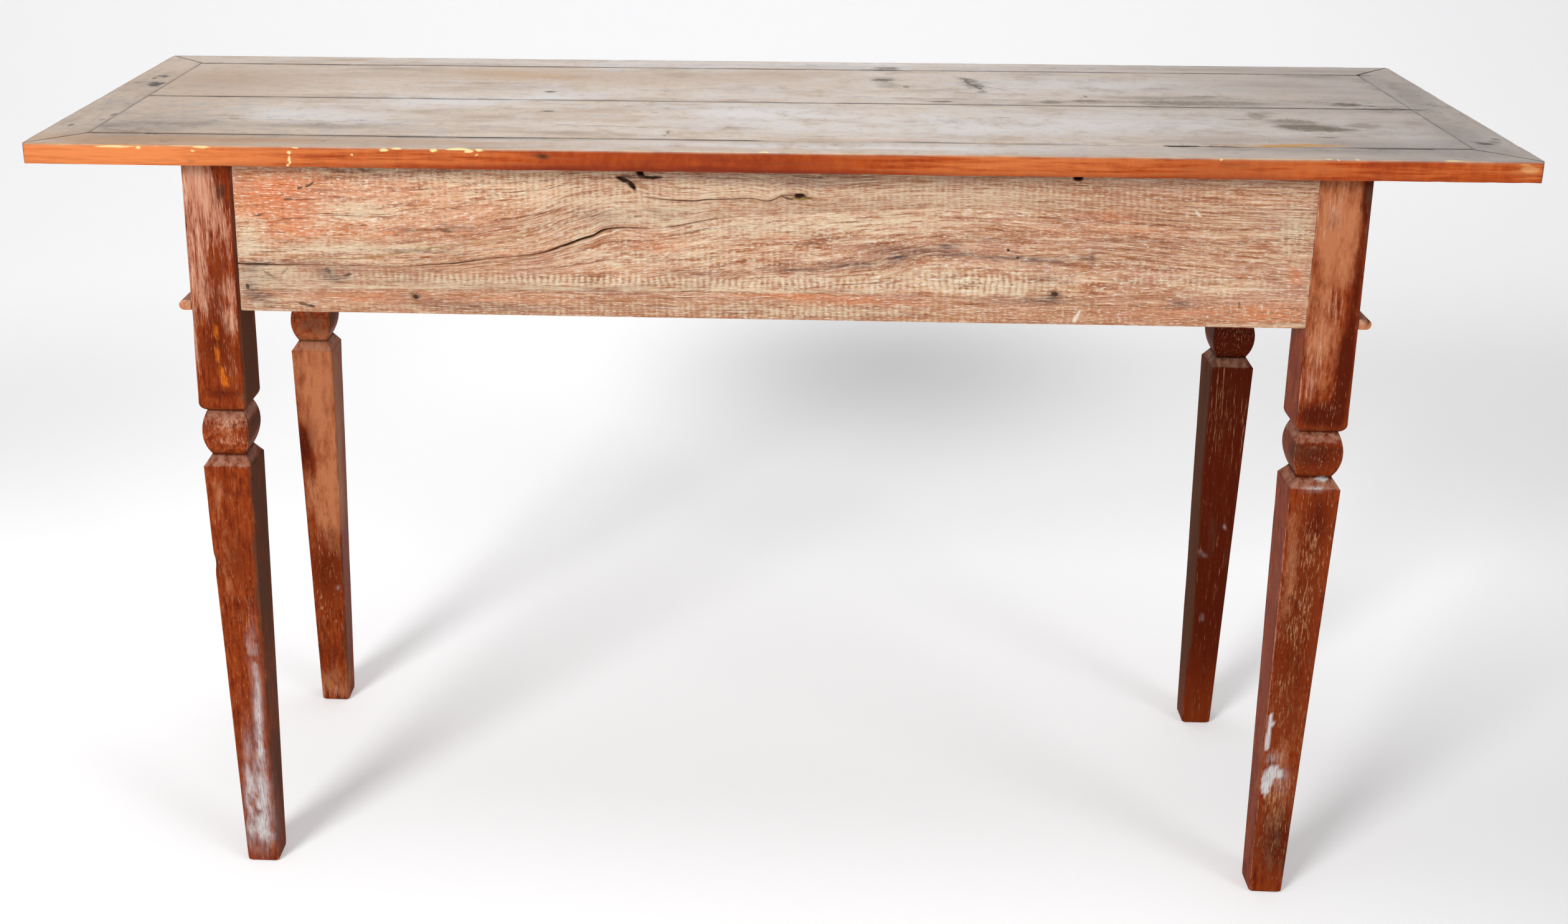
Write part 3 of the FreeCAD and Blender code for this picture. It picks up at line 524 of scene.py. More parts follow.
def worn_varnish(finish):
    """Hardwood brushed with red-brown spirit varnish and rubbed by use.  The eye sees mottled red-brown drawn
    along the grain, deep near black where it pooled, golden and pinkish wood where it has worn off, short
    pale flecks, a soft shine, scuffs and a few paint marks."""
    material, tree = new_material("rubbed_red_brown_varnish")
    dark, rub, paint, orange, bloom, brown, deep, gold, fleck = read_fields(tree)
    n = patterns(tree, grain_vector(tree),
                 {"streak": ((40, 3.0, 3.0), 6.0, 0.7), "flake": ((11, 1.3, 1.3), 4.0, 0.7),
                  "cloud": ((34, 11, 11), 7.0, 0.72), "pores": ((13, 0.8, 0.8), 3.0, 0.7),
                  "blots": ((15, 6, 6), 6.0, 0.72)})
    means = []
    for other in ("flake", "blots"):
        total = node(tree, "ShaderNodeMath", {0: n["streak"], 1: n[other]}, operation="ADD")
        means.append(node(tree, "ShaderNodeMath", {0: total, 1: 0.5}, operation="MULTIPLY"))
    mixed, smear = means
    key = {name: node(tree, "ShaderNodeMath", {0: share, 1: amount, 2: pattern}, operation="MULTIPLY_ADD")
           for name, share, amount, pattern in (
               ("rub", rub, 0.5, mixed), ("deep", deep, 0.5, smear), ("gold", gold, 0.5, n["cloud"]),
               ("fleck", fleck, 0.16, n["flake"]), ("bloom", bloom, 0.5, n["blots"]),
               ("brown", brown, 0.6, n["cloud"]))}
    varnish = node(tree, "ShaderNodeValToRGB", {0: smear},
                   stops=[(0.34, "55180a"), (0.45, "7a2c0e"), (0.55, "963f16"), (0.68, "b3602c")])
    wood = node(tree, "ShaderNodeValToRGB", {0: n["streak"]},
                stops=[(0.32, "ad6549"), (0.5, "cc9074"), (0.68, "e2b498")])
    flaked = []
    for share, low, high, least, most in ((paint, 0.34, 0.56, 0.35, 1.15), (orange, 0.4, 0.55, 0.2, 1.3)):
        broken = node(tree, "ShaderNodeMapRange", {0: n["flake"], 1: low, 2: high, 3: least, 4: most})
        flaked.append(node(tree, "ShaderNodeMath", {0: share, 1: broken}, operation="MULTIPLY",
                           use_clamp=True))
    scuffs, chips = flaked
    colour = layered(tree, varnish, [
        (key["gold"], 0.62, 0.9, 0.9, "c67e55"), (key["rub"], 0.61, 0.77, 0.94, wood),
        (key["deep"], 0.6, 0.78, 0.9, "501403"), (key["bloom"], 0.62, 0.9, 0.85, finish["bloom"]),
        (key["fleck"], 0.64, 0.74, 0.8, "c28c62"), (n["pores"], 0.4, 0.28, 0.5, "43160a"),
        (key["brown"], 0.66, 1.0, 0.92, "5a3a2a"), (chips, finish["orange_chip"]),
        (scuffs, finish["pale_paint"]), (dark, "180b05")])
    rough = node(tree, "ShaderNodeMapRange", {0: key["rub"], 1: 0.5, 2: 0.9, 3: 0.45, 4: 0.7})
    rough = node(tree, "ShaderNodeMath", {0: rough, 1: brown}, operation="MAXIMUM", use_clamp=True)
    height = node(tree, "ShaderNodeMath", {0: n["flake"], 1: 0.6, 2: n["streak"]}, operation="MULTIPLY_ADD")
    close_material(tree, colour, rough, height, 0.25, specular=0.05)
    return material


def planed_softwood(along_x=False):
    """Planed pine and poplar inside the carcase, never finished.  The eye sees pale brown wood with soft year
    rings and the grey of handling and dust."""
    material, tree = new_material("bare_planed_inner_wood" + ("_x" if along_x else ""))
    space = in_millimetres(tree) if along_x else grain_vector(tree)
    n = patterns(tree, space, {"rings": ((300, 7, 7), 3.0, 0.5), "fibres": ((35, 0.9, 0.9), 3.0, 0.65),
                               "dust": ((70, 40, 40), 5.0, 0.6)})
    wood = node(tree, "ShaderNodeValToRGB", {0: n["rings"]},
                stops=[(0.3, "86613f"), (0.46, "a67f58"), (0.6, "b8946c"), (0.78, "c7a883")])
    colour = layered(tree, wood,
                     [(n["fibres"], 0.46, 0.3, 0.5, "6e4d32"), (n["dust"], 0.45, 0.72, 0.45, "776455")])
    close_material(tree, colour, 0.78, n["fibres"], 0.2, specular=0.3)
    return material


def old_steel():
    """Cut steel of brads and screws, darkened and lightly rusted.  The eye sees dark grey-brown dull
    metal."""
    material, tree = new_material("darkened_cut_steel")
    placed = node(tree, "ShaderNodeTexCoord").outputs["Object"]
    rust = node(tree, "ShaderNodeTexNoise",
                {"Vector": placed, "Scale": 900.0, "Detail": 4.0, "Roughness": 0.6})
    colour = node(tree, "ShaderNodeValToRGB", {0: rust},
                  stops=[(0.35, "3a3733"), (0.55, "4d4640"), (0.72, "6a4028")])
    rough = node(tree, "ShaderNodeMapRange", {0: rust, 3: 0.42, 4: 0.7})
    close_material(tree, colour, rough, rust, 0.05, metallic=0.8)
    return material


def studio_paper(finish):
    """Matt white studio paper on the floor and up the wall, glowing whiter to the camera than the light alone
    makes it, with painted shade greyer to the right and behind the apron, where the table's shadow and the
    lights' falloff lie."""
    material, tree = new_material("matt_studio_paper")
    placed = node(tree, "ShaderNodeTexCoord").outputs["Object"]
    grey = None
    # painted shade: grey spots where the table's shadow and the lights' falloff lie on the paper
    for place, reach, share in PAINTED_PAPER_SHADE:
        away = node(tree, "ShaderNodeVectorMath", {0: placed, 1: place},
                    operation="DISTANCE").outputs["Value"]
        soft = node(tree, "ShaderNodeMapRange", {0: away, 1: reach, 2: 0.0, 4: share},
                    interpolation_type="SMOOTHSTEP")
        grey = soft if grey is None else node(tree, "ShaderNodeMath", {0: grey, 1: soft}, operation="ADD")
    colour = layered(tree, finish["paper"], [(grey, "a6a8a8")])
    matt = node(tree, "ShaderNodeBsdfDiffuse", {"Color": colour, "Roughness": 0.5})
    seen = node(tree, "ShaderNodeLightPath").outputs["Is Camera Ray"]
    height = node(tree, "ShaderNodeSeparateXYZ", {0: placed}).outputs["Z"]
    # painted glow: the paper glows to the camera, a little more up the wall and less under the painted shade
    lift = node(tree, "ShaderNodeMapRange", {0: height, 1: 0.2, 2: 1.2, 3: PAPER_LIFT[0], 4: PAPER_LIFT[1]})
    bright = node(tree, "ShaderNodeMapRange", {0: grey, 1: 0.0, 2: 0.8, 3: 1.0, 4: 0.0})
    lift = node(tree, "ShaderNodeMath", {0: lift, 1: bright}, operation="MULTIPLY")
    strength = node(tree, "ShaderNodeMath", {0: seen, 1: lift}, operation="MULTIPLY")
    glow = node(tree, "ShaderNodeEmission", {"Color": finish["paper"], "Strength": strength})
    node(tree, "ShaderNodeOutputMaterial", {"Surface": node(tree, "ShaderNodeAddShader", {0: matt, 1: glow})})
    return material


# ---- what a user would change ------------------------------------------------------------------------
def colour_property(label, text, code):
    return bpy.props.FloatVectorProperty(name=label, description=text, subtype="COLOR", size=4, min=0.0,
                                         max=1.0, default=linear(code))


class TableFinish(bpy.types.PropertyGroup):
    warm_varnish: colour_property("Warm varnish", "Varnish left on the top near its rims", "a9825f")
    fresh_wood: colour_property("Fresh wood", "Wood laid bare where the top is broken", "b98a50")
    orange_streak: colour_property("Orange streak", "Orange streaks of the rough-sawn apron", "e08450")
    cream_wash: colour_property("Cream wash", "Old whitewash left in the saw ticks", "e6cfae")
    grey_stain: colour_property("Grey stain", "Water stain on the rough-sawn apron", "5c4a48")
    bloom: colour_property("Bloom", "Dull pinkish wood of the legs' sawn slopes", "b0836c")
    orange_chip: colour_property("Orange chip", "Orange underpaint where the legs are chipped", "cf6a1e")
    pale_paint: colour_property("Pale paint", "Pale paint scuffed on the legs", "d9d4d3")
    paper: colour_property("Paper", "Studio paper", "f4f4f5")


class TableWear(bpy.types.PropertyGroup):
    edge_wear: bpy.props.FloatProperty(name="Edge wear",
                                       description="Most that edges are worn away, in millimetres",
                                       default=1.0, min=0.0, max=3.0)
    split_depth: bpy.props.FloatProperty(name="Split depth",
                                         description="Depth of the apron's long split, in millimetres",
                                         default=4.0, min=0.0, max=8.0)
    saw_depth: bpy.props.FloatProperty(name="Saw mark depth",
                                       description="Depth of the saw ticks, in millimetres", default=0.3,
                                       min=0.0, max=1.0)
    key_power: bpy.props.FloatProperty(name="Key light", description="Power of the left studio light",
                                       default=100.0, min=0.0, unit="POWER")
    fill_power: bpy.props.FloatProperty(name="Fill light", description="Power of the right studio light",
                                        default=25.0, min=0.0, unit="POWER")
    top_power: bpy.props.FloatProperty(name="Top light", description="Power of the overhead light",
                                       default=42.0, min=0.0, unit="POWER")


def finish_colours(context):
    settings = context.scene.table_finish
    return {key: tuple(getattr(settings, key)) for key in TableFinish.__annotations__}


def shared(name, build):
    """A material that several operators use, made once."""
    return bpy.data.materials.get(name) or build()


# ---- the stage ---------------------------------------------------------------------------------------
# where the camera stood, in metres and radians, its lens in millimetres and the shift of its picture
CAMERA_PLACE = (0.00518, -1.8894, 1.1623)
CAMERA_TURN = (1.2827, -0.001, 0.0518)
LENS = 43.435
SHIFT = (0.0671, -0.1233)
LIGHTS = {"key_light": ((-2.1, -3.3, 2.3), 1.3, "key_power"),
          "fill_light": ((2.8, -2.6, 1.9), 1.5, "fill_power"),
          "top_light": ((0.0, 0.2, 3.3), 2.6, "top_power")}
# painted shade: soft grey areas of the paper for the table's shadow and the lights' falloff: middle, reach,
# share
PAINTED_PAPER_SHADE = [
    ((3.6, 3.4, 1.6), 3.0, 0.15), ((0.22, 1.45, 0.0), 0.62, 0.42), ((1.5, 0.7, 0.0), 1.5, 0.25),
    ((1.2, -0.2, 0.0), 0.9, 0.36), ((0.0, 0.65, 0.0), 1.0, 0.26), ((-1.3, 1.0, 0.0), 1.0, 0.22)]
PAPER_LIFT = (0.26, 0.33)
AIR_LIGHT = 0.28


def aim(thing, place, target):
    direction = mathutils.Vector(target) - mathutils.Vector(place)
    thing.location = place
    thing.rotation_euler = direction.to_track_quat("-Z", "Y").to_euler()


class TABLE_OT_stage(bpy.types.Operator):
    """Builds the paper sweep, the lights, the world and the camera"""
    bl_idname = "table.stage"
    bl_label = "Studio Stage"

    def execute(self, context):
        scene = context.scene
        wear = scene.table_wear
        half, back, rise, bend = 9.0, 3.4, 6.0, 1.6
        profile = [(-6.0, 0.0), (back - bend, 0.0)]
        profile += [(back - bend + bend * math.sin(a), bend - bend * math.cos(a))
                    for a in np.linspace(0, math.pi / 2, 24)[1:]]
        profile.append((back, rise))
        places = [(x, y, z) for y, z in profile for x in (-half, half)]
        faces = [(2 * i, 2 * i + 1, 2 * i + 3, 2 * i + 2) for i in range(len(profile) - 1)]
        mesh = bpy.data.meshes.new("paper_sweep")
        mesh.from_pydata(places, [], faces)
        mesh.shade_smooth()
        mesh.materials.append(studio_paper(finish_colours(context)))
        sweep_object = bpy.data.objects.new("paper_sweep", mesh)
        scene.collection.objects.link(sweep_object)

        for name, (place, size, power) in LIGHTS.items():
            lamp = bpy.data.lights.new(name, "AREA")
            lamp.shape = "DISK"
            lamp.size = size
            lamp.energy = getattr(wear, power)
            light = bpy.data.objects.new(name, lamp)
            scene.collection.objects.link(light)
            aim(light, place, (0.0, 0.0, 0.5))

        world = bpy.data.worlds.new("studio_air")
        scene.world = world
        world.use_nodes = True
        tree = world.node_tree
        tree.nodes.clear()
        path = node(tree, "ShaderNodeLightPath")
        mirrored = node(tree, "ShaderNodeMath",
                        {0: path.outputs["Is Glossy Ray"], 1: path.outputs["Is Transmission Ray"]},
                        operation="MAXIMUM")
        # the room in front of the paper is darker than the paper
        facing = node(tree, "ShaderNodeSeparateXYZ",
                      {0: node(tree, "ShaderNodeTexCoord").outputs["Generated"]}).outputs["Y"]
        room = node(tree, "ShaderNodeMapRange", {0: facing, 1: -0.3, 2: 0.4, 3: 0.4, 4: 1.0})
        strength = node(tree, "ShaderNodeMix", {0: mirrored, 2: AIR_LIGHT, 3: room}, data_type="FLOAT")
        strength = node(tree, "ShaderNodeMath", {0: strength, 1: path.outputs["Is Camera Ray"]},
                        operation="MAXIMUM")
        air = node(tree, "ShaderNodeBackground", {"Color": (1.0, 1.0, 1.0, 1.0), "Strength": strength})
        node(tree, "ShaderNodeOutputWorld", {"Surface": air})

        lens = bpy.data.cameras.new("studio_camera")
        lens.sensor_width, lens.sensor_fit, lens.lens = 36.0, "HORIZONTAL", LENS
        lens.shift_x, lens.shift_y = SHIFT
        lens.clip_start, lens.clip_end = 0.05, 60.0
        camera = bpy.data.objects.new("studio_camera", lens)
        scene.collection.objects.link(camera)
        camera.location, camera.rotation_euler = CAMERA_PLACE, CAMERA_TURN
        scene.camera = camera
        scene.view_settings.view_transform = "Standard"
        return {"FINISHED"}


# ---- the top -----------------------------------------------------------------------------------------
# millimetres along the table where the painted grey reflection on the boards begins, and where it is
# strongest
GREYER_FROM, GREYEST_AT = 120, 600
DIRT_HALF_WIDTH = 1.9
TOP_CORNER = 4.0
# soft spots on the boards, each (x, y, reach along x, reach along y, strength)
TOP_DARK = [
    (-652, 63, 7, 6, 1.2), (-657, 102, 8, 6, 1.0), (-670, 65, 5, 4, 1.0), (-645, 46, 5, 4, 0.8),
    (-668, 20, 5, 3, 0.5), (658, -158, 9, 5, 1.1), (649, -150, 5, 3, 0.7), (-228, 38, 6, 3.5, 0.9),
    (-219, -59, 7, 3, 0.8), (176, 10, 15, 3, 0.9), (283, 13, 22, 3, 0.8), (208, 134, 7, 4, 0.7),
    (213, 100, 9, 5, 0.7), (120, 178, 12, 4, 0.6), (633, 178, 18, 3, 0.7), (600, 12, 30, 3, 0.7),
    (645, -4, 10, 3, 0.8), (570, 15, 12, 2.6, 0.6), (448, 52, 20, 3, 0.5), (-524, -112, 20, 2.6, 0.4)]
TOP_GOLD = [
    (-300, 143, 60, 18, 0.45), (-245, 120, 70, 16, 0.36), (-180, 100, 90, 20, 0.18), (533, 58, 16, 6, 0.25)]
# dark marks on the boards: x, y, half length, half width, lean in degrees, darkness
TOP_MARKS = [
    (-651, 52, 6, 7, 10, 0.9), (-646, 57, 3, 9, -10, 0.85), (-662, 89, 2.4, 4, 0, 0.8),
    (-654, 99, 2.2, 5, 0, 0.8), (-669, 66, 9, 2.2, 30, 0.6), (-642, -99, 3, 6, 0, 0.6),
    (-645, -124, 2.4, 5, 0, 0.45), (-666, -150, 2.6, 5, 0, 0.6), (655, -156, 7, 3.6, -20, 0.9),
    (668, -150, 6, 3, -30, 0.6), (673, -138, 4, 6, 0, 0.45), (-228, 38, 5, 3.2, 0, 0.85),
    (-219, -59, 6, 2.6, 0, 0.8), (175, 9, 12, 2.6, 0, 0.75), (128, 194, 11, 5, 0, 0.5),
    (633, 178, 16, 3, 0, 0.7), (324, 45, 2, 4, 0, 0.75), (227, -65, 7, 2, 0, 0.45),
    (518, -139, 9, 3, -8, 0.55), (-112, -60, 4, 2, 0, 0.4), (143, 86, 3, 7, 0, 0.5),
    (121, 124, 12, 4, 0, 0.65), (220, 62, 5, 7, -30, 0.5), (411, -179, 14, 1.6, 4, 0.7)]
# broad olive-brown stains: x, y, half length, half width, lean in degrees, darkness
TOP_BLOTS = [
    (513, -96, 26, 17, 0, 0.8), (506, -68, 24, 9, -8, 0.65), (538, -104, 16, 9, 0, 0.65),
    (492, -92, 12, 8, 0, 0.45), (476, -44, 10, 12, 0, 0.55), (567, -85, 16, 10, 0, 0.45),
    (580, 18, 14, 9, 0, 0.8), (611, -4, 30, 6, 0, 0.55), (440, 14, 64, 13, 0, 0.5),
    (404, 16, 30, 12, 0, 0.45), (340, 18, 40, 7, 0, 0.4), (650, -110, 20, 40, 0, 0.22),
    (660, 60, 14, 60, 0, 0.22), (620, -69, 9, 11, 0, 0.25), (580, 174, 34, 10, 0, 0.4),
    (121, 120, 13, 9, 0, 0.6), (123, 96, 11, 17, 0, 0.35), (214, 124, 8, 14, 15, 0.7),
    (218, 92, 11, 12, 20, 0.6), (283, 13, 9, 8, 0, 0.5), (320, 20, 13, 8, 0, 0.5), (128, 192, 16, 8, 0, 0.4),
    (20, 150, 60, 20, 0, 0.12)]
TOP_STAIN = [
    (512, -93, 26, 10, 0.95), (536, -105, 20, 8, 0.9), (488, -74, 18, 7, 0.75), (463, -62, 20, 4, 0.55),
    (524, -134, 14, 4, 0.5), (490, -31, 26, 7, 0.5), (566, -76, 22, 7, 0.45), (125, 183, 22, 8, 0.7),
    (122, 130, 20, 12, 0.75), (143, 84, 10, 9, 0.5), (317, 20, 50, 8, 0.55), (373, 40, 60, 10, 0.55),
    (440, 46, 70, 10, 0.6), (286, 164, 60, 6, 0.5), (607, -19, 34, 8, 0.55), (560, 30, 70, 8, 0.4),
    (215, 110, 16, 40, 0.4), (-584, 113, 26, 6, 0.3), (640, 120, 26, 60, 0.3), (660, -60, 20, 80, 0.3),
    (-440, -128, 70, 4, 0.35)]
TOP_WARM = [
    (-600, 40, 90, 170, 0.35), (-420, -206, 260, 22, 0.75), (-600, -200, 90, 34, 0.55),
    (-560, 90, 140, 50, 0.25), (-180, 130, 260, 60, 0.25), (0, -215, 200, 10, 0.25), (640, -200, 60, 24, 0.4),
    (300, -212, 260, 14, 0.25), (40, 120, 260, 40, 0.12), (470, 120, 160, 60, 0.15)]
# painted sheen: pale lilac spots where the boards reflect the white paper
TOP_PAINTED_SHEEN = [
    (0, 205, 420, 26, 0.75), (-449, -96, 90, 30, 0.7), (-325, -22, 90, 30, 0.7), (-19, -60, 90, 40, 0.9),
    (257, -68, 200, 60, 0.45), (355, -91, 150, 40, 0.35), (610, -112, 60, 44, 0.35),
    (100, -130, 260, 34, 0.45), (0, 60, 260, 70, 0.35), (-211, 19, 70, 22, 0.5), (60, -205, 360, 16, 0.75),
    (350, 100, 160, 50, 0.65), (-480, -60, 200, 90, 0.15)]
TOP_SHADE = [
    (-605, -153, 70, 30, 0.5), (660, 0, 34, 230, 0.5), (400, -206, 240, 18, 0.35), (560, 110, 130, 60, 0.4),
    (-600, -90, 120, 130, 0.4), (-420, -150, 160, 60, 0.25), (-664, 60, 24, 130, 0.35),
    (600, -190, 80, 40, 0.6), (0, 200, 320, 12, 0.35), (470, -192, 100, 9, 0.6), (430, -160, 70, 14, 0.5),
    (530, -160, 50, 18, 0.45), (640, -120, 30, 60, 0.3), (470, 205, 200, 14, 0.5), (520, 0, 160, 40, 0.35),
    (-420, -140, 160, 12, 0.35), (-300, -186, 220, 5, 0.5), (200, 20, 200, 12, 0.25)]
EDGE_WARM = [
    (-620, 770, 130, 40, 0.95), (-480, 770, 130, 40, 0.3), (-300, 770, 120, 40, 0.34), (672, 771, 16, 8, 0.7),
    (200, 770, 120, 30, 0.45), (360, 770, 110, 30, 0.3), (500, 770, 110, 30, 0.28)]
EDGE_DEEP = [
    (-10, 770, 110, 40, 0.5), (-150, 770, 90, 40, 0.3), (543, 768, 8, 4, 0.5), (400, 770, 90, 30, 0.3),
    (-200, 762, 180, 4, 0.35), (0, 761, 700, 3.0, 0.45)]
# thin lines on the boards: places, half widths, darkness
TOP_LINES = [
    ([(560, 28), (600, 12), (638, -3)], [1.5, 2.4, 1.5], 0.8),
    ([(196, 150), (212, 138), (208, 118), (216, 96), (224, 64)], [1.2, 2.6, 1.6, 2.6, 1.0], 0.8),
    ([(216, 98), (238, 84), (262, 52)], [1.6, 1.4, 0.8], 0.5),
    ([(-94, -139), (-96, -158), (-99, -168)], [1.0, 1.4, 0.8], 0.7),
    ([(-203, -122), (-150, -126), (-112, -131)], [1.0, 1.6, 0.9], 0.65),
    ([(-524, -112), (-456, -116), (-400, -121)], [1.0, 1.5, 0.9], 0.45),
    ([(-40, -123), (-20, -124)], [1.8, 1.4], 0.5),
    ([(616, 181), (636, 182), (653, 180)], [1.5, 2.0, 1.2], 0.8), ([(478, -58), (440, -61)], [1.5, 1.0], 0.5),
    ([(-20, -180.6), (90, -179.5), (200, -178.5), (360, -180.3)], [0.6, 2.2, 2.6, 2.0], 1.1),
    ([(-352, -182), (-220, -183)], [1.6, 1.2], 0.6),
    ([(364, -183.6), (470, -180.0), (600, -181.5)], [2.2, 2.0, 1.2], 0.9),
    ([(-630, -164), (-590, -178), (-560, -190)], [1.0, 1.6, 0.8], 0.5),
    ([(60, 34), (200, 26), (330, 22)], [0.8, 1.4, 0.8], 0.35),
    ([(-414, -217), (-402, -186)], [0.9, 0.7], 0.4)]
# the broken stretch of the front edge: places, half widths
BROKEN_EDGE = (
    [(386, -182), (410, -178), (436, -176), (462, -175), (490, -172), (512, -172), (530, -173)],
    [0.8, 3.4, 3.6, 5.6, 6.4, 4.4, 0.8])
# pale chips along the front edge: x, z, half length, half width, share
EDGE_CHIPS = [
    (-597, 777.6, 18, 0.7, 0.85), (-575, 776.8, 1.8, 1.1, 0.95), (-517, 778.0, 8, 0.8, 0.85),
    (-525, 774.6, 1.6, 0.8, 0.7), (-436, 773.8, 1.8, 1.3, 0.95), (-436, 767.0, 0.9, 3.6, 0.9),
    (-438, 762.4, 0.8, 1.0, 0.85), (-378, 772.8, 0.8, 0.7, 0.8), (-349, 777.4, 3.6, 1.1, 1.0),
    (-337, 778.8, 4.0, 0.6, 0.9), (-303, 777.6, 3.2, 1.1, 1.0), (-281, 779.0, 10.5, 0.8, 1.0),
    (-271, 777.4, 3.6, 1.1, 0.95), (-262, 778.2, 2.6, 0.8, 0.95), (-264, 774.0, 0.7, 0.7, 0.7),
    (-430, 778.6, 2.6, 0.6, 0.8), (-4, 779.8, 5, 0.6, 0.6), (402, 778.2, 0.5, 0.6, 0.8),
    (504, 779.2, 0.7, 0.4, 0.6), (496, 779.8, 3.6, 0.2, 0.4), (521, 779.4, 1.4, 0.3, 0.5),
    (604, 779.6, 8, 0.3, 0.45), (667, 777.1, 4, 0.5, 0.3), (671, 772.5, 8, 3.0, 0.22)]
EDGE_KNOTS = [
    (-203, 773.0, 5.0, 2.8, 0.8), (-210, 774.4, 8.0, 1.6, 0.4), (-527, 764.6, 4.0, 1.6, 0.4),
    (411, 773.7, 14, 2.0, 0.25), (668, 769, 10, 1.2, 0.4)]


def line_share(flat, lines, strength=1.0):
    """The darkest of a set of thin lines at each place."""
    best = np.zeros(len(flat))
    for line, widths, darkness in lines:
        best = np.maximum(best, ramp01(groove(flat, line, widths), 0.0, 0.75) * darkness)
    return best * strength


def top_fields(places, low, high, cross):
    """Attributes of a board of the top: joint dirt and stains, varnished edge, worn arris, and the tints of
    skin and edge."""
    flat = places[:, :2]
    upper = ramp01(places[:, 2], TOP_Z - 2.2, TOP_Z - 0.8)
    rim = rim_share(places, low, high, 1.5, cross)
    side = np.maximum(np.abs(places[:, 0]) - HALF_LENGTH, np.abs(places[:, 1]) - HALF_DEPTH)
    outside = ramp01(side, -2.0, -0.6)
    edge = ramp01(side + random_field(places, (30, 30, 6), 5), -2.0, -0.8)
    edge *= 1 - ramp01(places[:, 2], TOP_Z - 1.5, TOP_Z - 0.5)
    over_x, over_y = np.abs(places[:, 0]) - FIELD_X, np.abs(places[:, 1]) - FIELD_Y
    mitre = np.exp(-np.abs(over_x - over_y) / 1.1) * (over_x > -1) * (over_y > -1) * upper * 0.9
    inner_rim = rim * (1 - outside) * upper
    joint = inner_rim * ramp01(random_field(places, (50, 50, 20), 3), -1.1, 0.0)
    dark = patches(flat, TOP_DARK) * ramp01(random_field(places, (9, 5, 9), 8), -0.6, 0.2)
    dark = np.maximum(dark, line_share(flat, TOP_LINES))
    on_front = places[:, 1] < -HALF_DEPTH + 3
    face = places[:, [0, 2]]
    knots = patches(face, EDGE_KNOTS) * on_front
    arris = outside * np.exp(-np.abs(places[:, 2] - TOP_Z + 0.6) / 0.8)
    arris *= ramp01(random_field(places, (24, 24, 9), 12), -0.3, 0.7)
    fresh = 0.45 + 0.8 * ramp01(places[:, 0], 440, 462)
    broken = ramp01(groove(flat, *BROKEN_EDGE), 0.0, 0.4) * fresh * (places[:, 1] > -FIELD_Y)
    tint_gold = patches(flat, TOP_GOLD) + broken
    # painted sheen in random patches over the boards
    patchy_painted_sheen = ramp01(random_field(places, (60, 30, 30), 14), -0.2, 0.7) * 0.25
    warm = np.where(outside > 0.5, patches(face, EDGE_WARM) + 0.35 * (1 - on_front), patches(flat, TOP_WARM))
    deep = np.where(outside > 0.5, patches(face, EDGE_DEEP), 0.0)
    marks = np.stack([np.maximum(joint * 0.95, mitre) + dark * upper + knots * outside, edge * outside,
                      arris * 0.6], axis=1)
    tints = np.stack([warm, tint_gold * upper, patches(flat, TOP_STAIN)], axis=1)
    tones = np.stack([patches(flat, TOP_PAINTED_SHEEN) + patchy_painted_sheen, patches(flat, TOP_SHADE), deep], axis=1)
    return [np.clip(values, 0, 1) for values in (marks, tints, tones)]


def round_corners(places, radius=TOP_CORNER):
    """Brings points outside the rounded outer corners of the top back onto the round."""
    corner = np.array([HALF_LENGTH - radius, HALF_DEPTH - radius])
    over = np.abs(places[:, :2]) - corner
    both = (over > 0).all(axis=1)
    away = np.linalg.norm(over, axis=1)
    far = both & (away > radius)
    scale = np.where(far, radius / np.maximum(away, 1e-6), 1.0)
    fixed = np.sign(places[:, :2]) * (corner + over * scale[:, None])
    places[far, :2] = fixed[far]
    return places


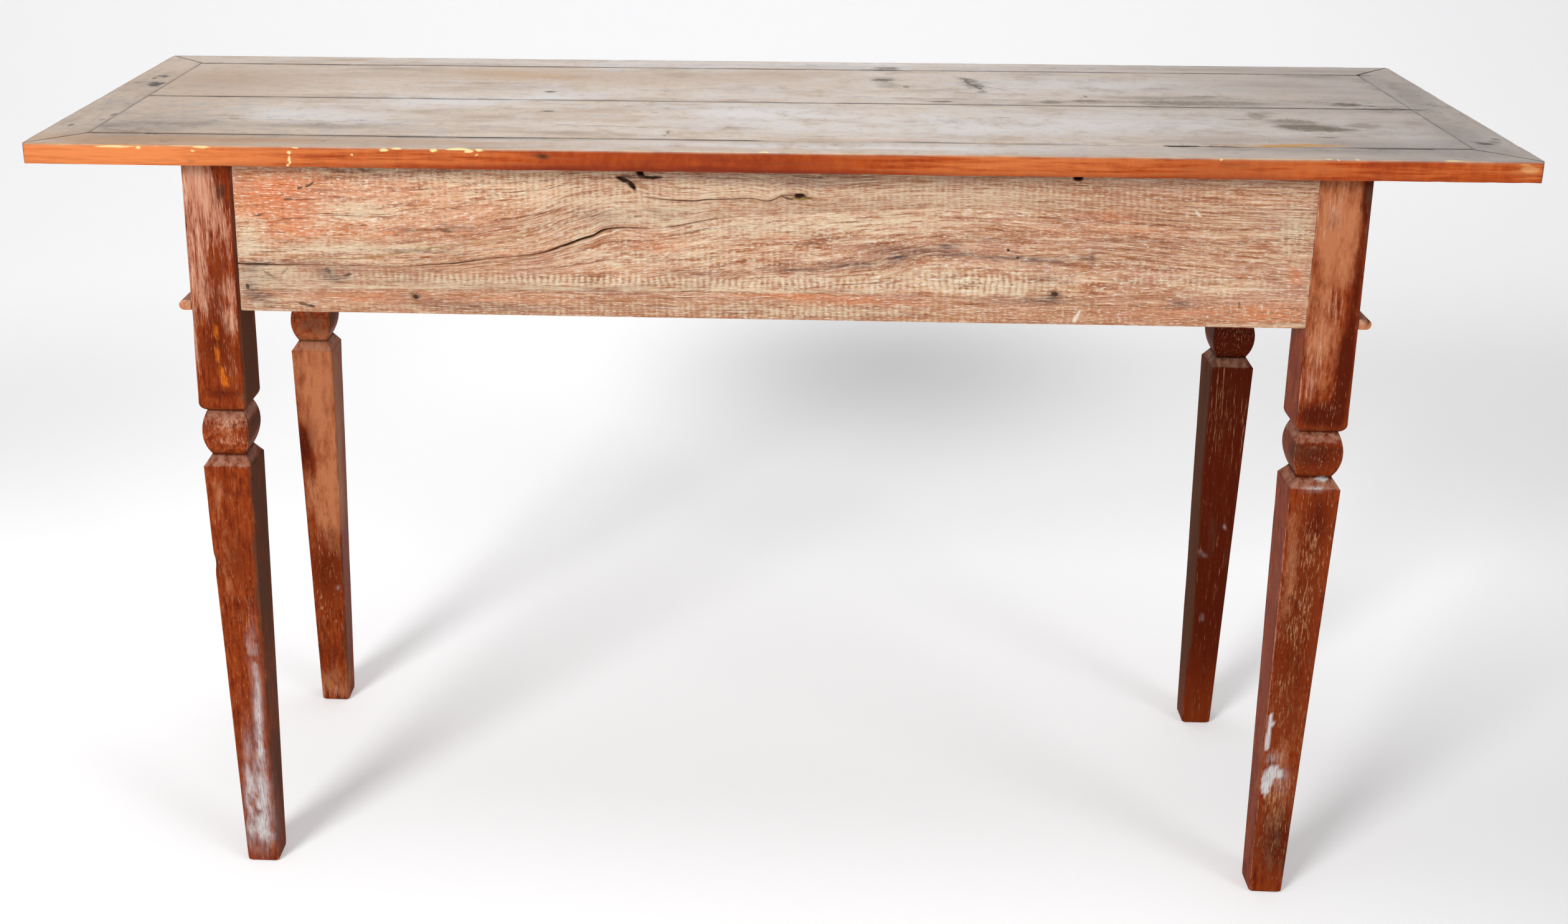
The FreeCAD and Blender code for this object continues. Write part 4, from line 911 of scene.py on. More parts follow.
class TABLE_OT_top(bpy.types.Operator):
    """Builds the two rails, two ends and two planks of the top, with worn edges"""
    bl_idname = "table.top"
    bl_label = "Boarded Top"

    def execute(self, context):
        wear = context.scene.table_wear
        material = weathered_boards(finish_colours(context))
        boards = [("top_rail_plain_side", "x"), ("top_rail_drawer_side", "x"), ("top_end_left", "y"),
                  ("top_end_right", "y"), ("top_plank_plain_side", "x"), ("top_plank_drawer_side", "x")]
        for number, (name, axis) in enumerate(boards):
            self.board(name, axis, number, wear, material)
        return {"FINISHED"}

    def board(self, name, axis, number, wear, material):
        run, cross = (0, 1) if axis == "x" else (1, 0)
        low, high = span(name)
        mitred = "plank" not in name
        if not mitred:
            low[0], high[0] = -FIELD_X, FIELD_X
            low[1], high[1] = (-FIELD_Y, PLANK_JOINT) if "plain" in name else (PLANK_JOINT, FIELD_Y)
        outline = rounded_outline((low[cross], low[2]), (high[cross], high[2]), (0.8, 0.8, 1.0, 1.0),
                                  (14.0, 1.6, 2.5, 1.6))
        if mitred:
            outer = high[cross] if high[cross] > 0 and low[cross] > 0 else low[cross]
            inward = np.abs(outline[:, 0] - outer)
            starts, stops = low[run] + inward, high[run] - inward
        else:
            starts, stops = np.full(len(outline), low[run]), np.full(len(outline), high[run])
        near = [e for d in (0.4, 0.9, 1.6, 2.6, 4.0, 6.0) for e in (low[run] + d, high[run] - d)]
        stations = stepped(low[run], high[run], 2.5, near)
        mesh = sweep(name, board_rings(outline, stations, starts, stops, axis))
        places, normals = points_of(mesh), normals_of(mesh)
        rim = rim_share(places, low, high, 1.6, (cross, 2))
        uneven = 0.35 + 0.65 * ramp01(random_field(places, (16, 16, 8), 20 + number), 0.0, 0.8)
        worn = rim * wear.edge_wear * uneven
        hollow = 0.25 * ramp01(random_field(places, (70, 26, 26), 40 + number), -0.2, 0.9)
        flat = places[:, :2]
        upper = places[:, 2] > TOP_Z - 3
        cuts = line_share(flat, TOP_LINES, 1.3)
        broken = ramp01(groove(flat, *BROKEN_EDGE), 0.0, 0.9) * 0.9 * (places[:, 1] > -FIELD_Y - 0.1)
        cuts = np.maximum(cuts, broken) * upper
        places -= normals * (worn + hollow + np.clip(cuts, 0, 6) + 0.12)[:, None]
        places = round_corners(places)
        marks, tints, tones = top_fields(places, low, high, (cross, 2))
        place_points(mesh, places)
        along = places[:, [run, cross, 2]] + np.array([number * 431.0, number * 57.0, 0.0])
        along[:, 1] += 5.0 * lattice(places / np.array([210.0, 60.0, 60.0]), 60 + number)
        store(mesh, "grain", along)
        store(mesh, "marks", marks)
        store(mesh, "tints", tints)
        store(mesh, "tones", tones)
        finish_piece(mesh, name.replace("top_", "worn_"), material, "table", [name])


# ---- the rough-sawn apron ----------------------------------------------------------------------------
# Paths of single grain lines over the board, (x, z); between them the grain is spaced evenly.
GRAIN_LEVELS = [
    (611.5, [(-500, 611.5), (500, 611.5)]),
    (637.0,
        [(-500, 632.0), (-331, 634.5), (-135, 636.0), (17, 637.3), (191, 639.1), (385, 642.4), (500, 644.3)]),
    (654.0,
        [(-500, 641.0), (-330, 642.0), (-200, 641.5), (-146, 641.5), (-121, 646.0), (-88, 650.2),
            (-47, 653.3), (-18, 657.4), (16, 660.4), (53, 661.0), (77, 664.6), (103, 669.2), (138, 675.7),
            (161, 677.8), (193, 677.4), (231, 673.8), (268, 675.6), (293, 677.2), (350, 674.0), (430, 668.0),
            (500, 664.0)]),
    (690.0,
        [(-500, 657.9), (-390, 657.9), (-333, 658.5), (-307, 660.7), (-290, 662.2), (-273, 665.3),
            (-257, 667.8), (-235, 669.7), (-217, 671.8), (-202, 675.8), (-194, 679.4), (-182, 683.8),
            (-172, 688.2), (-161, 691.0), (-154, 696.6), (-146, 697.9), (-137, 699.3), (-110, 698.7),
            (-91, 700.4), (-78, 702.6), (-65, 705.8), (-45, 709.4), (0, 712.0), (60, 716.0), (133, 719.9),
            (159, 721.4), (207, 721.9), (300, 716.0), (400, 709.0), (500, 706.0)]),
    (722.0,
        [(-500, 686.0), (-364, 689.1), (-338, 692.0), (-313, 694.1), (-272, 696.4), (-250, 701.0),
            (-234, 702.4), (-218, 706.6), (-201, 712.2), (-193, 716.5), (-182, 720.8), (-160, 725.5),
            (-138, 728.5), (-115, 729.3), (-107, 727.7), (-94, 726.3), (-78, 725.7), (-66, 725.5),
            (-55, 727.2), (-39, 727.5), (-15, 729.0), (-7, 727.5), (0, 725.4), (5, 727.3), (14, 732.3),
            (29, 731.7), (45, 727.8), (51, 727.5), (100, 734.0), (160, 738.0), (210, 738.5), (300, 733.0),
            (400, 727.0), (500, 725.0)]), (TOP_UNDER, [(-500, TOP_UNDER), (500, TOP_UNDER)]), ]
# grain levels of the long split, the upper one, and the splinter beside the long one
SPLIT_LEVELS = (690.0, 722.0, 686.6)
# height of the paler band along the lower edge, spacing of the saw ticks, and columns of points along the
# board
BAND_TOP = 633.5
TICK_SPACING = 5.9
APRON_COLUMNS = 720
# along each split: x, half width, depth share
SPLITS = [
    [(-500, 0.8, 0.5), (-478, 0.7, 0.45), (-455, 0.25, 0.3), (-420, 0.05, 0.1), (-340, 0.0, 0.1),
        (-325, 0.25, 0.3), (-290, 0.4, 0.4), (-262, 0.15, 0.25), (-240, 0.1, 0.2), (-216, 0.25, 0.4),
        (-202, 0.45, 0.6), (-185, 0.6, 0.7), (-165, 0.6, 0.7), (-156, 0.9, 0.8), (-148, 0.5, 0.5),
        (-136, 0.25, 0.4), (-112, 0.1, 0.3), (-104, -0.3, 0.05), (-96, -0.2, 0.05), (-90, 0.2, 0.4),
        (-50, 0.15, 0.35), (-36, -0.4, 0.05), (-30, -1.4, 0.0), (500, -1.4, 0.0)],
    [(-500, -1.4, 0.0), (-368, -1.4, 0.0), (-340, -0.15, 0.15), (-270, -0.3, 0.12), (-245, -0.1, 0.2),
        (-215, -0.05, 0.25), (-180, -0.3, 0.15), (-165, -1.4, 0.0), (-120, -1.4, 0.0), (-113, 0.0, 0.3),
        (-94, 0.15, 0.4), (-78, 0.3, 0.55), (-62, 0.5, 0.7), (-40, 0.3, 0.55), (-18, 0.15, 0.45),
        (-5, 0.05, 0.3), (2, 0.5, 0.7), (14, 0.2, 0.4), (24, 0.3, 0.5), (40, 0.0, 0.3), (52, -0.2, 0.2),
        (58, -1.4, 0.0), (500, -1.4, 0.0)],
    [(-500, -1.4, 0.0), (-350, -1.4, 0.0), (-338, -0.2, 0.2), (-300, 0.0, 0.2), (-275, -0.05, 0.2),
        (-255, -0.8, 0.0), (-240, -0.2, 0.2), (-205, 0.05, 0.3), (-180, 0.0, 0.3), (-160, -0.2, 0.2),
        (-150, -1.4, 0.0), (500, -1.4, 0.0)], ]
SAWN_GROOVES = [
    # line, half widths, depth, darkness
    ([(-139, 747.2), (-132, 744.5), (-126, 740.5), (-122, 735.0)], [0.8, 2.6, 2.6, 0.7], 4.0, 0.25),
    ([(-120, 755.0), (-116, 749.0)], [2.6, 2.4], 7.0, 0.8),
    ([(-118, 748.5), (-108, 746.6), (-98, 747.5)], [2.2, 1.6, 0.5], 3.0, 0.3),
    ([(26.5, 731.6), (33.0, 731.9)], [2.3, 2.0], 4.0, 0.5),
    ([(281, 752.5), (284, 752.5)], [3.4, 3.2], 8.0, 0.8),
    ([(-135, 704.7), (-130, 707.9), (-121, 709.9), (-112, 710.3)], [0.4, 0.8, 0.6, 0.3], 0.6, 0.3),
    ([(-352, 670.5), (-340, 672.6), (-325, 673.4), (-309, 677.0)], [0.4, 0.8, 0.6, 0.3], 0.4, 0.4),
    ([(-370, 665.0), (-350, 663.0), (-330, 664.5), (-300, 668.5)], [0.3, 0.5, 0.5, 0.3], 0.4, 0.3),
    ([(405, 690.8), (444, 692.9), (483, 698.9), (496, 704.4)], [0.4, 0.6, 0.6, 0.4], 0.3, 0.4),
    ([(410, 687.1), (425, 684.0), (438, 682.8)], [0.4, 0.6, 0.4], 0.3, 0.35),
    ([(70, 742.0), (90, 744.5), (112, 741.0)], [0.3, 0.5, 0.3], 0.3, 0.3),
    ([(20, 750.5), (44, 749.0), (60, 752.0)], [0.3, 0.7, 0.3], 0.5, 0.4),
]
# dark marks on the sawn face: x, z, half length, half width, lean in degrees, darkness
SAWN_MARKS = [
    (-134, 744.8, 6.5, 1.8, -22, 0.9), (-125.5, 739.5, 5.0, 2.2, -52, 0.95), (-131, 748, 8, 1.1, 4, 0.7),
    (-107, 747.2, 9, 1.5, 3, 0.9), (-118, 752, 4, 3, 60, 0.95), (29.5, 731.8, 4.2, 2.2, 8, 0.95),
    (18, 729.5, 5, 1.0, -18, 0.8), (282.5, 752.5, 4.2, 3.4, 0, 0.95), (222.4, 682.6, 1.6, 1.4, 0, 0.9),
    (231.3, 675.5, 1.6, 1.3, 0, 0.8), (227.5, 649.7, 1.2, 1.0, 0, 0.6), (267, 641.1, 3.4, 2.6, 0, 0.9),
    (267, 641.1, 6.5, 4.5, 0, 0.35), (-331, 628.4, 2.6, 2.3, 0, 0.9), (-331, 628.4, 5.0, 4.2, 0, 0.35),
    (-427, 736, 5.5, 1.2, 32, 0.8), (-436, 733, 2.5, 1.4, 20, 0.7), (-448, 721.8, 4.5, 1.2, 5, 0.65),
    (-476, 706.3, 5.0, 1.1, 10, 0.7), (-300, 693.6, 5.5, 1.8, -8, 0.55), (-438, 619.0, 5.5, 1.4, -14, 0.75),
    (-431, 617.6, 3.0, 1.7, -10, 0.8), (-395, 649, 4.5, 1.5, 12, 0.75), (-414, 653, 2.2, 3.6, 20, 0.5),
    (-491.5, 636, 1.4, 3.0, 10, 0.85), (-480, 657.6, 12, 1.3, 0, 0.6), (-470, 648, 7, 1.2, -35, 0.35),
    (-482, 627, 6, 1.5, 30, 0.35), (-455, 652, 4, 1.2, 40, 0.35), (437, 633.4, 1.2, 3.4, 8, 0.5)]
OLIVE_LINES = [
    ([(-434, 664.1), (-386, 664.9), (-339, 672.0), (-306, 678.1), (-245, 687.5), (-205, 697.0)],
        [1.0, 1.4, 1.2, 1.2, 1.1, 0.9], 0.6),
    ([(-252, 660.6), (-235, 666.8), (-217, 671.0)], [0.9, 1.1, 0.9], 0.6),
    ([(22.0, 729.6), (31.0, 729.2), (40, 730)], [1.6, 3.0, 1.4], 0.9)]
CHALK_MARKS = [
    ([(390.4, 722.6), (392.5, 719.9), (395.2, 717.6)], [1.2, 2.2, 1.2]),
    ([(287, 616.0), (289.5, 621.0), (291.5, 626.0)], [3.2, 2.4, 0.8]),
    ([(349.0, 688.5), (350.0, 688.3)], [1.2, 1.2]), ([(-344, 750.5), (-343, 759.0)], [0.8, 0.9])]
SCRATCHES = [
    ([(262, 666.3), (280, 664.3), (302, 659.4), (323, 654.6), (348, 650.4), (375, 645.6), (404, 640.9)],
        [1.2] * 7, 0.42), ([(262, 664.0), (284, 661.4), (306, 656.0), (330, 651.0)], [1.1] * 4, 0.3),
    ([(120, 668), (180, 671), (262, 665)], [1.1] * 3, 0.2)]
ORANGE_PATCHES = [
    (-470, 722, 50, 24, 0.6), (-420, 700, 90, 16, 0.4), (-350, 735, 100, 18, 0.38), (-380, 690, 90, 8, 0.3),
    (-455, 680, 45, 9, 0.3), (-455, 745, 50, 10, 0.25), (-270, 705, 80, 24, 0.3), (-300, 650, 90, 8, 0.25),
    (-190, 735, 60, 16, 0.2), (-106, 681, 28, 9, 0.45), (-150, 655, 60, 12, 0.22), (-240, 672, 60, 10, 0.28),
    (12, 693, 24, 8, 0.45), (20, 636, 70, 4, 0.55), (315, 717, 34, 8, 0.48), (350, 703, 55, 5, 0.4),
    (200, 616, 60, 6, 0.25), (270, 700, 40, 8, 0.2), (380, 626, 120, 12, 0.32), (470, 624, 40, 14, 0.34),
    (-380, 627, 60, 8, 0.4), (-230, 628, 90, 6, 0.28), (485, 660, 10, 12, 0.55), (90, 630, 70, 4, 0.5),
    (150, 700, 60, 8, 0.15), (430, 662, 60, 6, 0.28), (-60, 665, 50, 6, 0.2), (-470, 632, 16, 6, 0.5),
    (100, 650, 40, 8, 0.2)]
PALE_PATCHES = [
    (-400, 700, 110, 60, 0.3), (-383, 711, 30, 8, 0.55), (-488, 684, 14, 20, 0.55), (-475, 645, 30, 12, 0.5),
    (-290, 735, 50, 16, 0.2), (-205, 735, 60, 18, 0.4), (-360, 748, 60, 8, 0.15), (-110, 718, 60, 14, 0.5),
    (-30, 740, 80, 12, 0.45), (-60, 700, 90, 10, 0.35), (-240, 643, 140, 6, 0.5), (-30, 642, 80, 7, 0.4),
    (-150, 668, 50, 14, 0.35), (60, 705, 80, 12, 0.4), (180, 735, 110, 16, 0.4), (150, 655, 70, 11, 0.4),
    (215, 645, 60, 8, 0.55), (480, 705, 16, 26, 0.5), (-70, 668, 50, 10, 0.3), (60, 622, 100, 8, 0.25),
    (330, 670, 80, 12, 0.15), (-470, 620, 30, 9, 0.3), (360, 735, 70, 14, 0.1), (420, 655, 70, 9, 0.25),
    (-20, 620, 300, 6, 0.22), (-200, 700, 40, 14, 0.25), (-320, 676, 90, 4, 0.3), (110, 712, 130, 20, 0.2),
    (420, 700, 60, 14, 0.12), (-420, 674, 70, 4, 0.3), (40, 655, 30, 8, 0.2), (380, 626, 130, 10, -0.45),
    (-330, 628, 120, 5, -0.3), (-440, 725, 60, 16, -0.2), (250, 685, 90, 8, -0.15), (430, 690, 60, 10, -0.1),
    (60, 634, 120, 3, -0.3)]
STAIN_PATCHES = [
    (-485, 653, 9, 4, 0.6), (-470, 644, 10, 3, 0.5), (-488, 632, 6, 8, 0.6), (-474, 628, 10, 5, 0.5),
    (-458, 634, 8, 5, 0.45), (-478, 618, 12, 3, 0.4), (-416, 652, 8, 5, 0.6), (-404, 644, 10, 3, 0.55),
    (-396, 655, 9, 2, 0.5), (-482, 659, 24, 1.6, 0.8), (-440, 660, 30, 2, 0.5), (-440, 756, 70, 3, 0.6),
    (-380, 752, 30, 5, 0.45), (-60, 748, 70, 4, 0.45), (40, 742, 40, 4, 0.35), (-290, 698, 20, 3, 0.5),
    (-340, 694, 60, 1.6, 0.6), (-330, 673, 40, 2, 0.5), (-262, 618, 60, 5, 0.35), (300, 756, 220, 3, 0.5),
    (-170, 712, 30, 4, 0.35), (70, 640, 40, 2, 0.35), (-150, 637, 60, 2, 0.3), (-60, 655, 40, 3, 0.4),
    (20, 661, 40, 3, 0.65), (80, 666, 32, 3.5, 0.8), (118, 674, 18, 4.5, 1.0), (160, 678, 30, 3.0, 0.7),
    (125, 683, 40, 3.5, 0.55), (168, 686, 12, 3.0, 1.0), (215, 676, 34, 2.6, 0.75), (255, 673, 30, 3.0, 0.75),
    (290, 676, 16, 2.6, 0.6), (299.6, 674, 2.2, 10, 0.65), (-100, 712, 24, 9, 0.25), (-150, 705, 16, 8, 0.3),
    (-128, 746, 12, 6, 0.35), (60, 748, 60, 6, 0.4), (180, 757, 300, 4.0, 0.5), (-200, 757, 300, 3.6, 0.45),
    (-490, 640, 12, 18, 0.25), (-478, 626, 14, 10, 0.3), (-410, 646, 14, 7, 0.45), (245, 634, 40, 4, 0.6),
    (268, 637, 16, 4, 0.5), (383, 634, 14, 5, 0.65), (-330, 628, 26, 4, 0.3), (-295, 620, 60, 5, 0.15),
    (30, 690, 60, 3, 0.15), (-340, 754, 60, 5, 0.45), (0, 727, 40, 6, 0.15), (450, 700, 50, 10, 0.1),
    (200, 693, 26, 3, 0.4), (260, 655, 22, 5, 0.45), (340, 690, 40, 16, 0.12), (-200, 620, 200, 3, 0.15)]


# rows where the saw ticks show: pale teeth, and dark gaps between them
PALE_TEETH = [
    (-190, 648.5, 200, 4.0, 0.55), (-40, 646, 120, 5, 0.2), (200, 651, 55, 11, 0.55), (80, 646, 60, 5, 0.35),
    (-190, 735, 120, 18, 0.3), (20, 742, 80, 10, 0.12), (170, 730, 110, 16, 0.1), (60, 650, 60, 7, 0.3),
    (320, 630, 60, 6, 0.4), (450, 629, 50, 6, 0.45), (-20, 700, 60, 8, 0.2), (-330, 744, 70, 8, 0.25),
    (480, 700, 14, 26, 0.2), (380, 655, 70, 8, 0.3), (-20, 672, 90, 10, 0.35), (300, 735, 90, 14, 0.04),
    (-80, 622, 300, 8, 0.15)]
DARK_GAPS = [
    (-190, 648, 220, 5, 0.38), (200, 650, 60, 10, 0.4), (330, 722, 70, 26, 0.22), (-60, 615, 420, 3.5, 0.4),
    (430, 735, 50, 14, 0.12), (170, 745, 90, 10, 0.12), (-200, 745, 90, 10, 0.1), (60, 625, 200, 8, 0.2)]
PALE_LINES = [
    ([(-500, 634.6), (-466, 635.2), (-331, 637.6), (-135, 639.0), (16, 640.0), (120, 641.5)],
        [1.2, 1.3, 1.9, 1.8, 1.5, 1.0], 0.75), ([(190, 641.4), (230, 641.9)], [1.3, 1.1], 0.8),
    ([(410, 613.6), (500, 614.6)], [1.8, 2.0], 0.7),
    ([(-250, 679.0), (-215, 687.0), (-190, 697.0)], [1.0, 1.3, 1.0], 0.55),
    ([(-300, 668.0), (-255, 675.0), (-222, 686.0)], [1.0, 1.3, 1.0], 0.5),
    ([(-420, 671.0), (-360, 676.0), (-310, 683.0)], [1.0, 1.2, 1.0], 0.6),
    ([(-480, 672.0), (-430, 673.5), (-380, 680.0)], [1.0, 1.4, 1.0], 0.5),
    ([(-200, 679.5), (-180, 687.0), (-160, 694.0)], [1.0, 1.2, 1.0], 0.6),
    ([(-360, 661.5), (-300, 664.0), (-262, 670.0)], [1.0, 1.1, 0.9], 0.4)] + SCRATCHES


def path_at(path, x, smooth=3):
    """Height of a path at each x, with its corners eased over a few points."""
    height = np.interp(x, [p[0] for p in path], [p[1] for p in path])
    weights = np.ones(2 * smooth + 1) / (2 * smooth + 1)
    return np.convolve(np.pad(height, smooth, mode="edge"), weights, mode="valid")


def profile_at(profile, x, column):
    return np.interp(x, [p[0] for p in profile], [p[column] for p in profile])


class TABLE_OT_plain_apron(bpy.types.Operator):
    """Builds the wide rough-sawn apron with its splits, holes and saw ticks"""
    bl_idname = "table.plain_apron"
    bl_label = "Rough-sawn Apron"

    def execute(self, context):
        wear = context.scene.table_wear
        x = np.linspace(-LEG_IN_X, LEG_IN_X, APRON_COLUMNS)
        near = [level + d for level in SPLIT_LEVELS[:2] for d in (-1.6, -1.0, -0.5, 0, 0.5, 1.0, 1.6)]
        levels = stepped(APRON_BOTTOM, TOP_UNDER, 1.5, near + list(np.arange(729.0, 747.0, 1.5)))
        anchors = [level for level, path in GRAIN_LEVELS]
        heights = np.array([path_at(path, x) for level, path in GRAIN_LEVELS])
        front = np.array([np.interp(levels, anchors, heights[:, i]) for i in range(len(x))])
        back = np.array([TOP_UNDER, TOP_UNDER - 50, APRON_BOTTOM + 50, APRON_BOTTOM])
        rings = np.zeros((len(x), len(levels) + len(back), 3))
        rings[:, :, 0] = x[:, None]
        rings[:, :len(levels), 1] = APRON_FACE
        rings[:, :len(levels), 2] = front
        rings[:, len(levels):, 1] = APRON_BACK
        rings[:, len(levels):, 2] = back
        flow = np.broadcast_to(np.concatenate([levels, back]), rings.shape[:2]).ravel()
        mesh = sweep("rough_sawn_apron", rings)
        places = points_of(mesh)
        on_face = places[:, 1] < APRON_FACE + 1
        flat = places[:, [0, 2]]

        depth, dark = np.zeros(len(places)), np.zeros(len(places))
        split_widths = []
        for level, profile in zip(SPLIT_LEVELS, SPLITS):
            half, strength = profile_at(profile, flat[:, 0], 1), profile_at(profile, flat[:, 0], 2)
            share = np.clip(1 - np.abs(flow - level) / np.maximum(half * 1.4, 0.6), 0, 1) * (half > 0)
            depth = np.maximum(depth, share * strength * wear.split_depth)
            split_widths.append(np.where(on_face, half + 0.12 * random_field(places, (6, 9, 9), 71), -2.0))
        for line, widths, deep, darkness in SAWN_GROOVES:
            share = np.clip(groove(flat, line, widths), 0, 1)
            depth = np.maximum(depth, ramp01(share, 0, 0.7) * deep)
            dark = np.maximum(dark, ramp01(share, 0.0, 0.5) * darkness)
        gold, lines = line_share(flat, OLIVE_LINES), line_share(flat, PALE_LINES)
        chalk = line_share(flat, [mark + (1.0,) for mark in CHALK_MARKS])
        lines *= ramp01(random_field(places, (12, 5, 3), 51), -0.5, 0.5)
        ticks = 0.5 + 0.5 * np.sin(flat[:, 0] * 2 * math.pi / TICK_SPACING
                                   + 2.4 * random_field(places, (30, 30, 14), 31))
        ticks *= ramp01(random_field(places, (40, 40, 12), 33), -0.4, 0.5)
        waves = random_field(places, (90, 90, 16), 35)
        fibres = random_field(np.stack([flat[:, 0], flow, flow * 0], axis=1), (34, 2.2, 9), 37)
        edge = np.exp(-(flat[:, 1] - APRON_BOTTOM) / 1.2) * 0.8
        edge += np.exp(-(LEG_IN_X - np.abs(flat[:, 0])) / 1.2) * 0.7
        depth += 0.5 + wear.saw_depth * ticks + 0.25 * waves + 0.12 * fibres + edge
        places[:, 1] += np.where(on_face, np.clip(depth, 0.05, 12), 0)
        place_points(mesh, places)
        fields = {"grain": [flat[:, 0], flow, places[:, 1]], "splits": split_widths,
                  "marks": [np.clip(dark, 0, 1) * on_face, gold * on_face, chalk * on_face],
                  "tints": [np.clip(patches(flat, spots), -1, 1) * on_face
                            for spots in (ORANGE_PATCHES, PALE_PATCHES, STAIN_PATCHES)],
                  "rows": [patches(flat, PALE_TEETH) * on_face, patches(flat, DARK_GAPS) * on_face,
                           lines * on_face]}
        store_fields(mesh, **fields)
        finish_piece(mesh, "rough_sawn_apron", rough_sawn_face(finish_colours(context)), "table",
                     ["apron_plain_side"], smooth_angle=50)
        return {"FINISHED"}


# ---- the legs ----------------------------------------------------------------------------------------
def arc_points(a, b, c, count):
    """Points on the circle through three places, from a to c."""
    (ax, ay), (bx, by), (cx, cy) = a, b, c
    d = 2 * (ax * (by - cy) + bx * (cy - ay) + cx * (ay - by))
    ux = ((ax * ax + ay * ay) * (by - cy) + (bx * bx + by * by) * (cy - ay)
          + (cx * cx + cy * cy) * (ay - by)) / d
    uy = ((ax * ax + ay * ay) * (cx - bx) + (bx * bx + by * by) * (ax - cx)
          + (cx * cx + cy * cy) * (bx - ax)) / d
    radius = math.hypot(ax - ux, ay - uy)
    first, last = math.atan2(ay - uy, ax - ux), math.atan2(cy - uy, cx - ux)
    middle = math.atan2(by - uy, bx - ux)
    while middle - first > math.pi:
        middle -= 2 * math.pi
    while middle - first < -math.pi:
        middle += 2 * math.pi
    while last - first > math.pi * 2 or (middle > first and last < middle):
        last += 2 * math.pi if last < middle else -2 * math.pi
    while middle < first and last > middle:
        last -= 2 * math.pi
    return [(ux + radius * math.cos(t), uy + radius * math.sin(t)) for t in np.linspace(first, last, count)]


def leg_stations():
    """(height, cut of every face, share of the taper) from the top of a leg to the floor."""
    rows = [(z, 0.0, 0.0) for z in np.linspace(TOP_UNDER, BLOCK_END, 52)]
    shoulder = arc_points((0, BLOCK_END), (UPPER_NECK_CUT * 0.35, BLOCK_END - 7.92),
                          (UPPER_NECK_CUT, UPPER_NECK), 9)[1:]
    cushion = arc_points((UPPER_NECK_CUT, UPPER_NECK), (CUSHION_CUT, CUSHION_MIDDLE),
                         (LOWER_NECK_CUT, LOWER_NECK), 34)[1:]
    rows += [(z, cut, 0.0) for cut, z in shoulder + cushion]
    sloped = zip(np.linspace(LOWER_NECK, TAPER_START, 8)[1:], np.linspace(LOWER_NECK_CUT, 0, 8)[1:])
    rows += [(z, cut, 0.0) for z, cut in sloped]
    lower = np.linspace(TAPER_START, FOOT_BEVEL, 100)[1:]
    rows += [(z, 0.0, (TAPER_START - z) / (TAPER_START - FOOT_BEVEL)) for z in lower]
    rows += [(z, FOOT_BEVEL - z, 1.0) for z in (1.3, 0.6, 0.0)]
    return rows


FRONT_LEFT, FRONT_RIGHT = ("left", "plain_side"), ("right", "plain_side")
BACK_LEFT, BACK_RIGHT = ("left", "drawer_side"), ("right", "drawer_side")
# scars of single legs: leg -> list of (x, y, z, radii x y z, depth)
LEG_NICKS = {
    FRONT_LEFT: [(-545.5, -197.5, 347, 4, 10, 7, 2.2), (-499.5, -197.5, 437, 3, 3, 3, 1.6),
        (-547.5, -197.5, 600, 3, 3, 16, 0.8), (-540, -197.5, 690, 2, 2, 6, 0.6),
        (-509.3, -197.5, 730, 2.4, 4, 3.2, 2.6), (-512, -197.5, 728, 6, 2, 10, 0.4)],
    FRONT_RIGHT: [(499.5, -197.5, 461, 3, 3, 4, 1.5), (547.5, -197.5, 300, 3, 3, 9, 1.0),
        (499.5, -197.5, 585, 2, 2, 12, 0.7)], BACK_LEFT: [(-547.5, 197.5, 410, 3, 3, 9, 1.2)],
    BACK_RIGHT: [(547.5, 197.5, 380, 3, 3, 10, 1.2)]}
